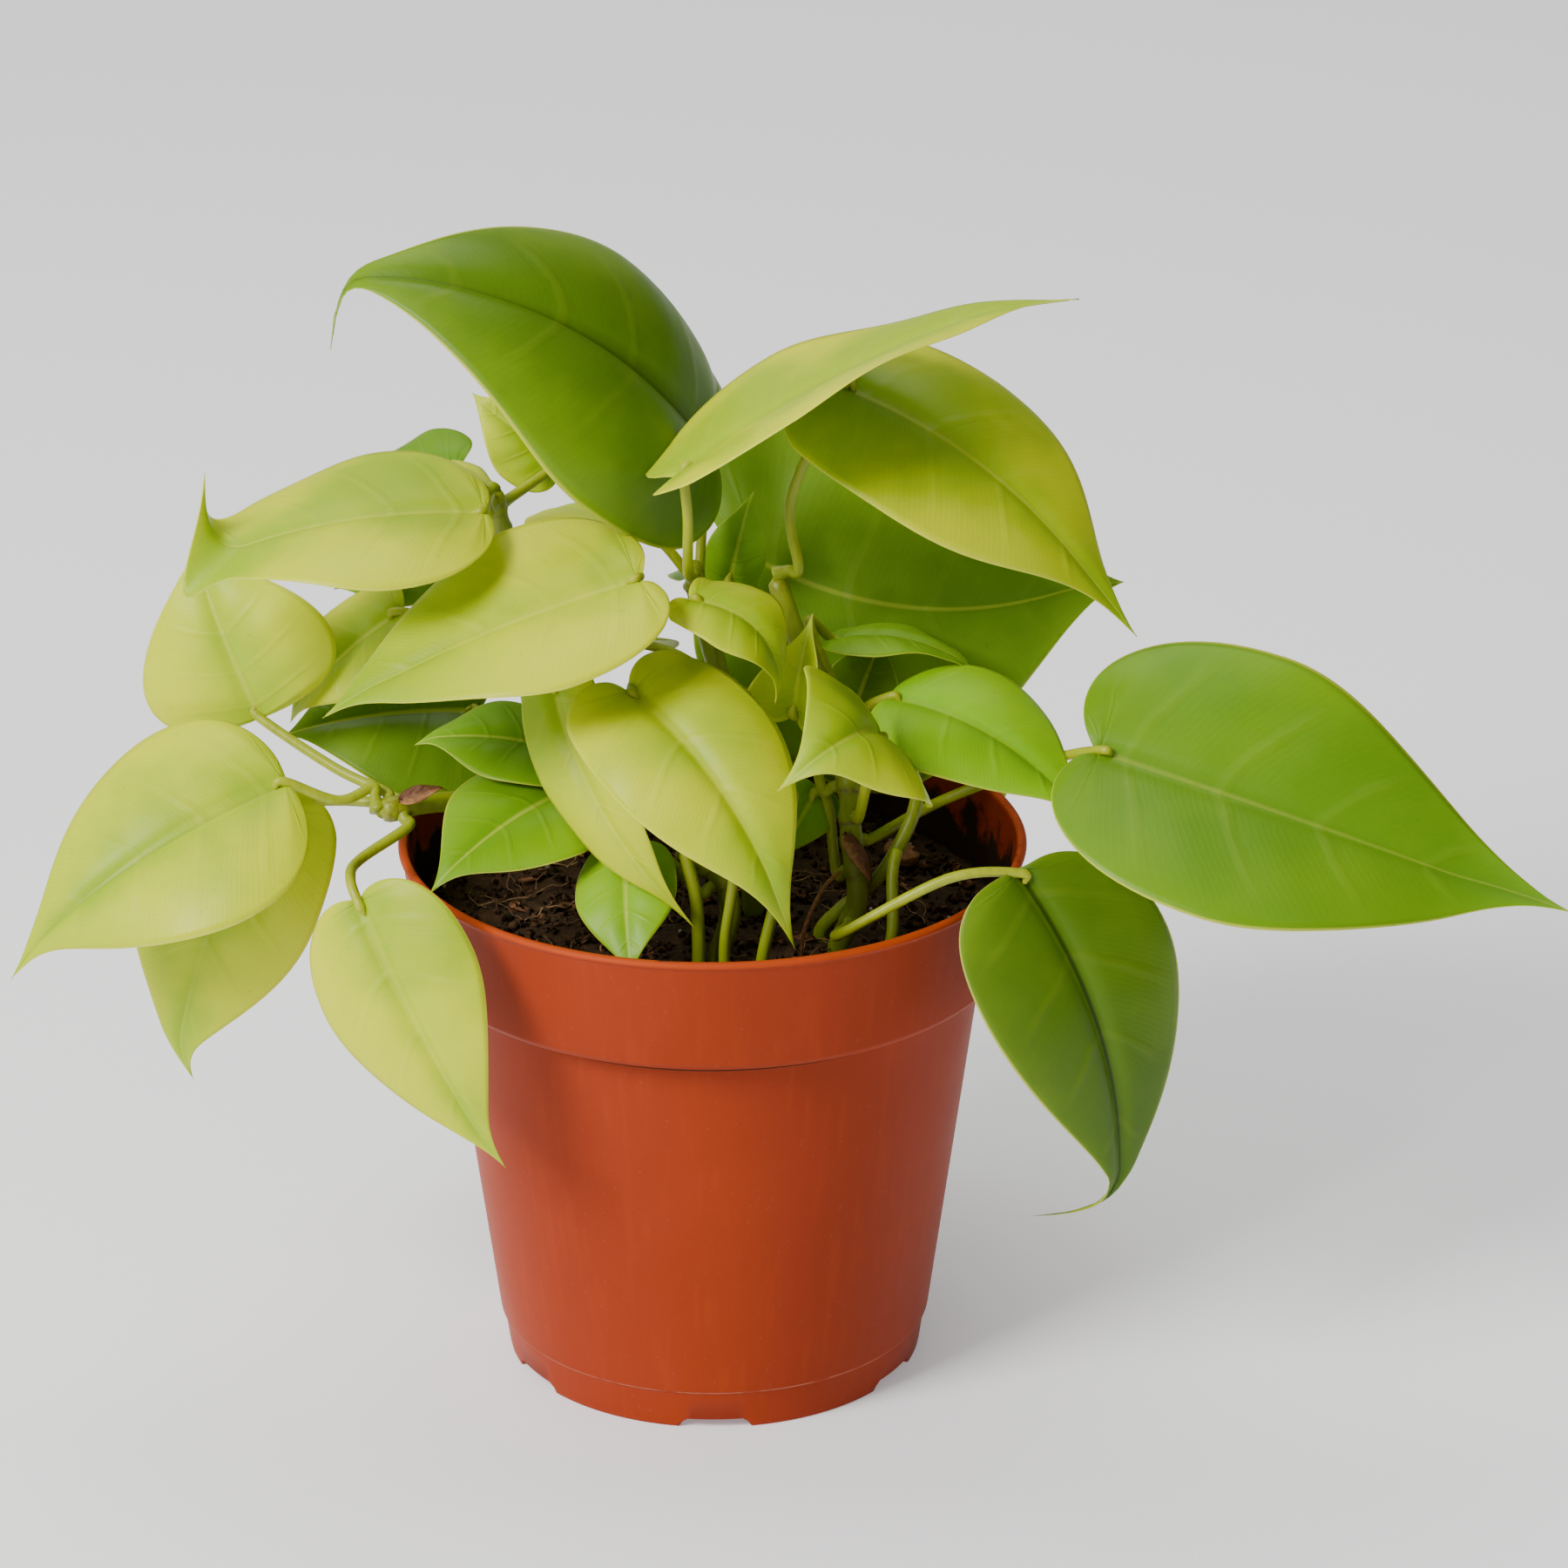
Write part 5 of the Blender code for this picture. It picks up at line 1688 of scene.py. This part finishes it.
@dataclass(frozen=True)
class BarkChip:
    """Broken chip of bark lying on the soil. Sizes are in mm."""

    plan: ChipPlan

    COLUMNS: ClassVar[int] = 26
    SIDES: ClassVar[int] = 22
    LIFT: ClassVar[float] = 1.0
    SQUARENESS: ClassVar[float] = 0.6

    def build(self, soil: Soil, finish: bpy.types.Material) -> bpy.types.Object:
        """Builds and dresses the chip.

        Args:
            soil: Soil that it lies on.
            finish: Its material.

        Returns:
            The object.
        """
        length, width, height = self.plan.size
        x, y = self.plan.place
        turn = math.radians(self.plan.turn)
        middle = soil.height(x, y) + self.LIFT + height / 2
        rings = []
        for i in range(self.COLUMNS):
            share = i / (self.COLUMNS - 1)
            end = 0.25 + 0.75 * (1 - abs(2 * share - 1) ** 4)
            ring = []
            for j in range(self.SIDES):
                angle = 2 * math.pi * j / self.SIDES
                cos, sin = math.cos(angle), math.sin(angle)
                rough = 1 + 0.30 * noise.noise(Vector((share * 7, cos * 1.6, x + sin)))
                a = (share - 0.5) * length
                b = width / 2 * end * rough * math.copysign(abs(cos) ** self.SQUARENESS, cos)
                c = height / 2 * rough * math.copysign(abs(sin) ** self.SQUARENESS, sin)
                across = x + a * math.cos(turn) - b * math.sin(turn)
                deep = y + a * math.sin(turn) + b * math.cos(turn)
                ring.append((across, deep, middle + c))
            rings.append(ring)
        shape = Shape()
        marks = np.zeros((self.COLUMNS, self.SIDES, 4))
        marks[:, :, 0] = 0.6
        shape.closed_rings(np.array(rings), marks, 0)
        return shape.to_object(self.plan.name + "_bark", [finish])


# ------------------------------------------------------------------ studio


@dataclass(frozen=True)
class SoftBox:
    """Square soft light.

    Args:
        name: Its name.
        place: Where it stands, in metres from the pot's axis.
        size: Its side, in metres.
        power: Its power, in watts.
    """

    name: str
    place: Triple
    size: float
    power: float


@dataclass(frozen=True)
class Studio:
    """Camera, soft lights and a plain pale floor."""

    SENSOR: ClassVar[float] = 36.0
    IMAGE_SIDE: ClassVar[float] = 1800.0
    FOCAL: ClassVar[float] = 7687.0

    distance: float = 1.2
    elevation: float = math.radians(25.3)
    look_height: float = 0.05
    light_height: float = 0.11
    aim_right: float = 82.3 / FOCAL
    aim_up: float = 342.1 / FOCAL
    lens: float = FOCAL / IMAGE_SIDE * SENSOR
    floor_side: float = 14.0
    floor_finish: PlainFinish = PlainFinish((0.87, 0.90, 0.97), roughness=0.9, glow=0.29)
    warmth: Color = (1.0, 0.96, 0.87)
    sky_left: float = 0.80
    sky_right: float = 0.0
    boxes: tuple[SoftBox, ...] = (
        SoftBox("key", (-0.95, -0.85, 1.10), 0.6, 34.0),
        SoftBox("fill", (0.9, -1.2, 0.7), 1.0, 0.5),
        SoftBox("top", (-0.1, 0.45, 1.4), 0.9, 9.0),
    )

    def stand(self, name: str, data: bpy.types.ID, place: Vector, ahead: Vector) -> bpy.types.Object:
        """Stands a camera or lamp in the scene.

        Args:
            name: Its name.
            data: Camera or light that it shows.
            place: Where it stands.
            ahead: Direction that it looks in.

        Returns:
            The object.
        """
        obj = bpy.data.objects.new(name, data)
        obj.location = place
        obj.rotation_euler = ahead.to_track_quat("-Z", "Y").to_euler()
        bpy.context.scene.collection.objects.link(obj)
        return obj

    def build_camera(self) -> None:
        """Sets up the camera."""
        forward = Vector((0, math.cos(self.elevation), -math.sin(self.elevation)))
        up = Vector((0, math.sin(self.elevation), math.cos(self.elevation)))
        place = AXIS + Vector((0, 0, self.look_height)) - forward * self.distance
        aim = forward + Vector((1, 0, 0)) * self.aim_right + up * self.aim_up
        data = bpy.data.cameras.new("camera")
        data.lens = self.lens
        data.sensor_width = self.SENSOR
        data.clip_end = 50.0
        bpy.context.scene.camera = self.stand("camera", data, place, aim)

    def build_lights(self) -> None:
        """Sets up the soft boxes, aimed at the plant."""
        target = AXIS + Vector((0, 0, self.light_height))
        for box in self.boxes:
            data = bpy.data.lights.new(box.name, "AREA")
            data.size = box.size
            data.energy = box.power
            data.color = self.warmth
            place = AXIS + Vector(box.place)
            self.stand(box.name, data, place, target - place)

    def build_sky(self) -> None:
        """Sets up the sky, which is brighter on the left."""
        world = bpy.data.worlds.new("sky")
        world.use_nodes = True
        tree = world.node_tree
        split = tree.nodes.new("ShaderNodeSeparateXYZ")
        tree.links.new(tree.nodes.new("ShaderNodeTexCoord").outputs["Generated"], split.inputs[0])
        level = tree.nodes.new("ShaderNodeMapRange")
        tree.links.new(split.outputs[0], level.inputs["Value"])
        level.inputs["From Min"].default_value = -1.0
        level.inputs["To Min"].default_value = self.sky_left
        level.inputs["To Max"].default_value = self.sky_right
        background = tree.nodes["Background"]
        tree.links.new(level.outputs["Result"], background.inputs["Strength"])
        background.inputs["Color"].default_value = (*self.warmth, 1.0)
        bpy.context.scene.world = world

    def build_floor(self) -> None:
        """Sets up the floor."""
        half = self.floor_side / 2
        mesh = bpy.data.meshes.new("floor")
        corners = [(-half, -half, 0.0), (half, -half, 0.0), (half, half, 0.0), (-half, half, 0.0)]
        mesh.from_pydata(corners, [], [[0, 1, 2, 3]])
        mesh.materials.append(self.floor_finish.material("pale_floor"))
        floor = bpy.data.objects.new("floor", mesh)
        bpy.context.scene.collection.objects.link(floor)


# ------------------------------------------------------------------ scene


class Philodendron:
    """Whole plant in its pot."""

    def __init__(self) -> None:
        """Lays out the pot, the soil and the skins that several pieces share."""
        self.pot = Pot()
        self.soil = Soil()
        self.stalk_skin = StemFinish().material("stalk_skin")
        self.stem_skin = StemFinish((0.32, 0.37, 0.01), (0.13, 0.19, 0.0)).material("stem_skin")

    def keep(self, obj: bpy.types.Object, node: str) -> None:
        """Ties a piece to the part.

        Args:
            obj: The piece.
            node: Node of the part that it stands for.
        """
        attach(obj, "root")
        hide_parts(node)
        LOG.info("%s: %d points", node, len(obj.data.vertices))

    def build(self) -> None:
        """Builds every piece in order."""
        self.keep(self.pot.build(), "pot")
        self.keep(self.soil.build(), "soil")
        stems = {}
        for plan in STEMS + SHOOTS:
            nodes = [leaf.at for leaf in LEAVES if leaf.stem == plan.name]
            stem = Stem(plan, nodes, self.soil)
            stems[plan.name] = stem.coarse_line()
            self.keep(stem.build(self.stem_skin), plan.name)
        for plan in LEAVES:
            leaf = Leaf(plan, DETAILS.get(plan.name, LeafDetail()))
            obj = leaf.build(stems[plan.stem], self.stalk_skin)
            self.keep(obj, plan.name)
        dry = GroundFinish((0.10, 0.035, 0.012), (0.36, 0.17, 0.07), 1200.0, 0.0002, 0.6)
        dry_skin = dry.material("dry_skin")
        for plan in SHEATHS:
            husk = Sheath(plan, LeafDetail(crease=0.3, wave=0.3))
            self.keep(husk.build_dry(dry_skin), plan.name)
        for plan in ROOTS:
            self.keep(Stem(plan, [], self.soil).build(dry_skin), plan.name)
        bark_skin = self.soil.flake.material("bark_skin")
        for plan in CHIPS:
            self.keep(BarkChip(plan).build(self.soil, bark_skin), plan.name)


def main() -> None:
    """Builds the plant and its studio."""
    logging.basicConfig(level=logging.INFO, format="%(name)s %(message)s")
    Philodendron().build()
    studio = Studio()
    studio.build_floor()
    studio.build_lights()
    studio.build_sky()
    studio.build_camera()
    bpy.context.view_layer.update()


if __name__ == "__main__":
    main()
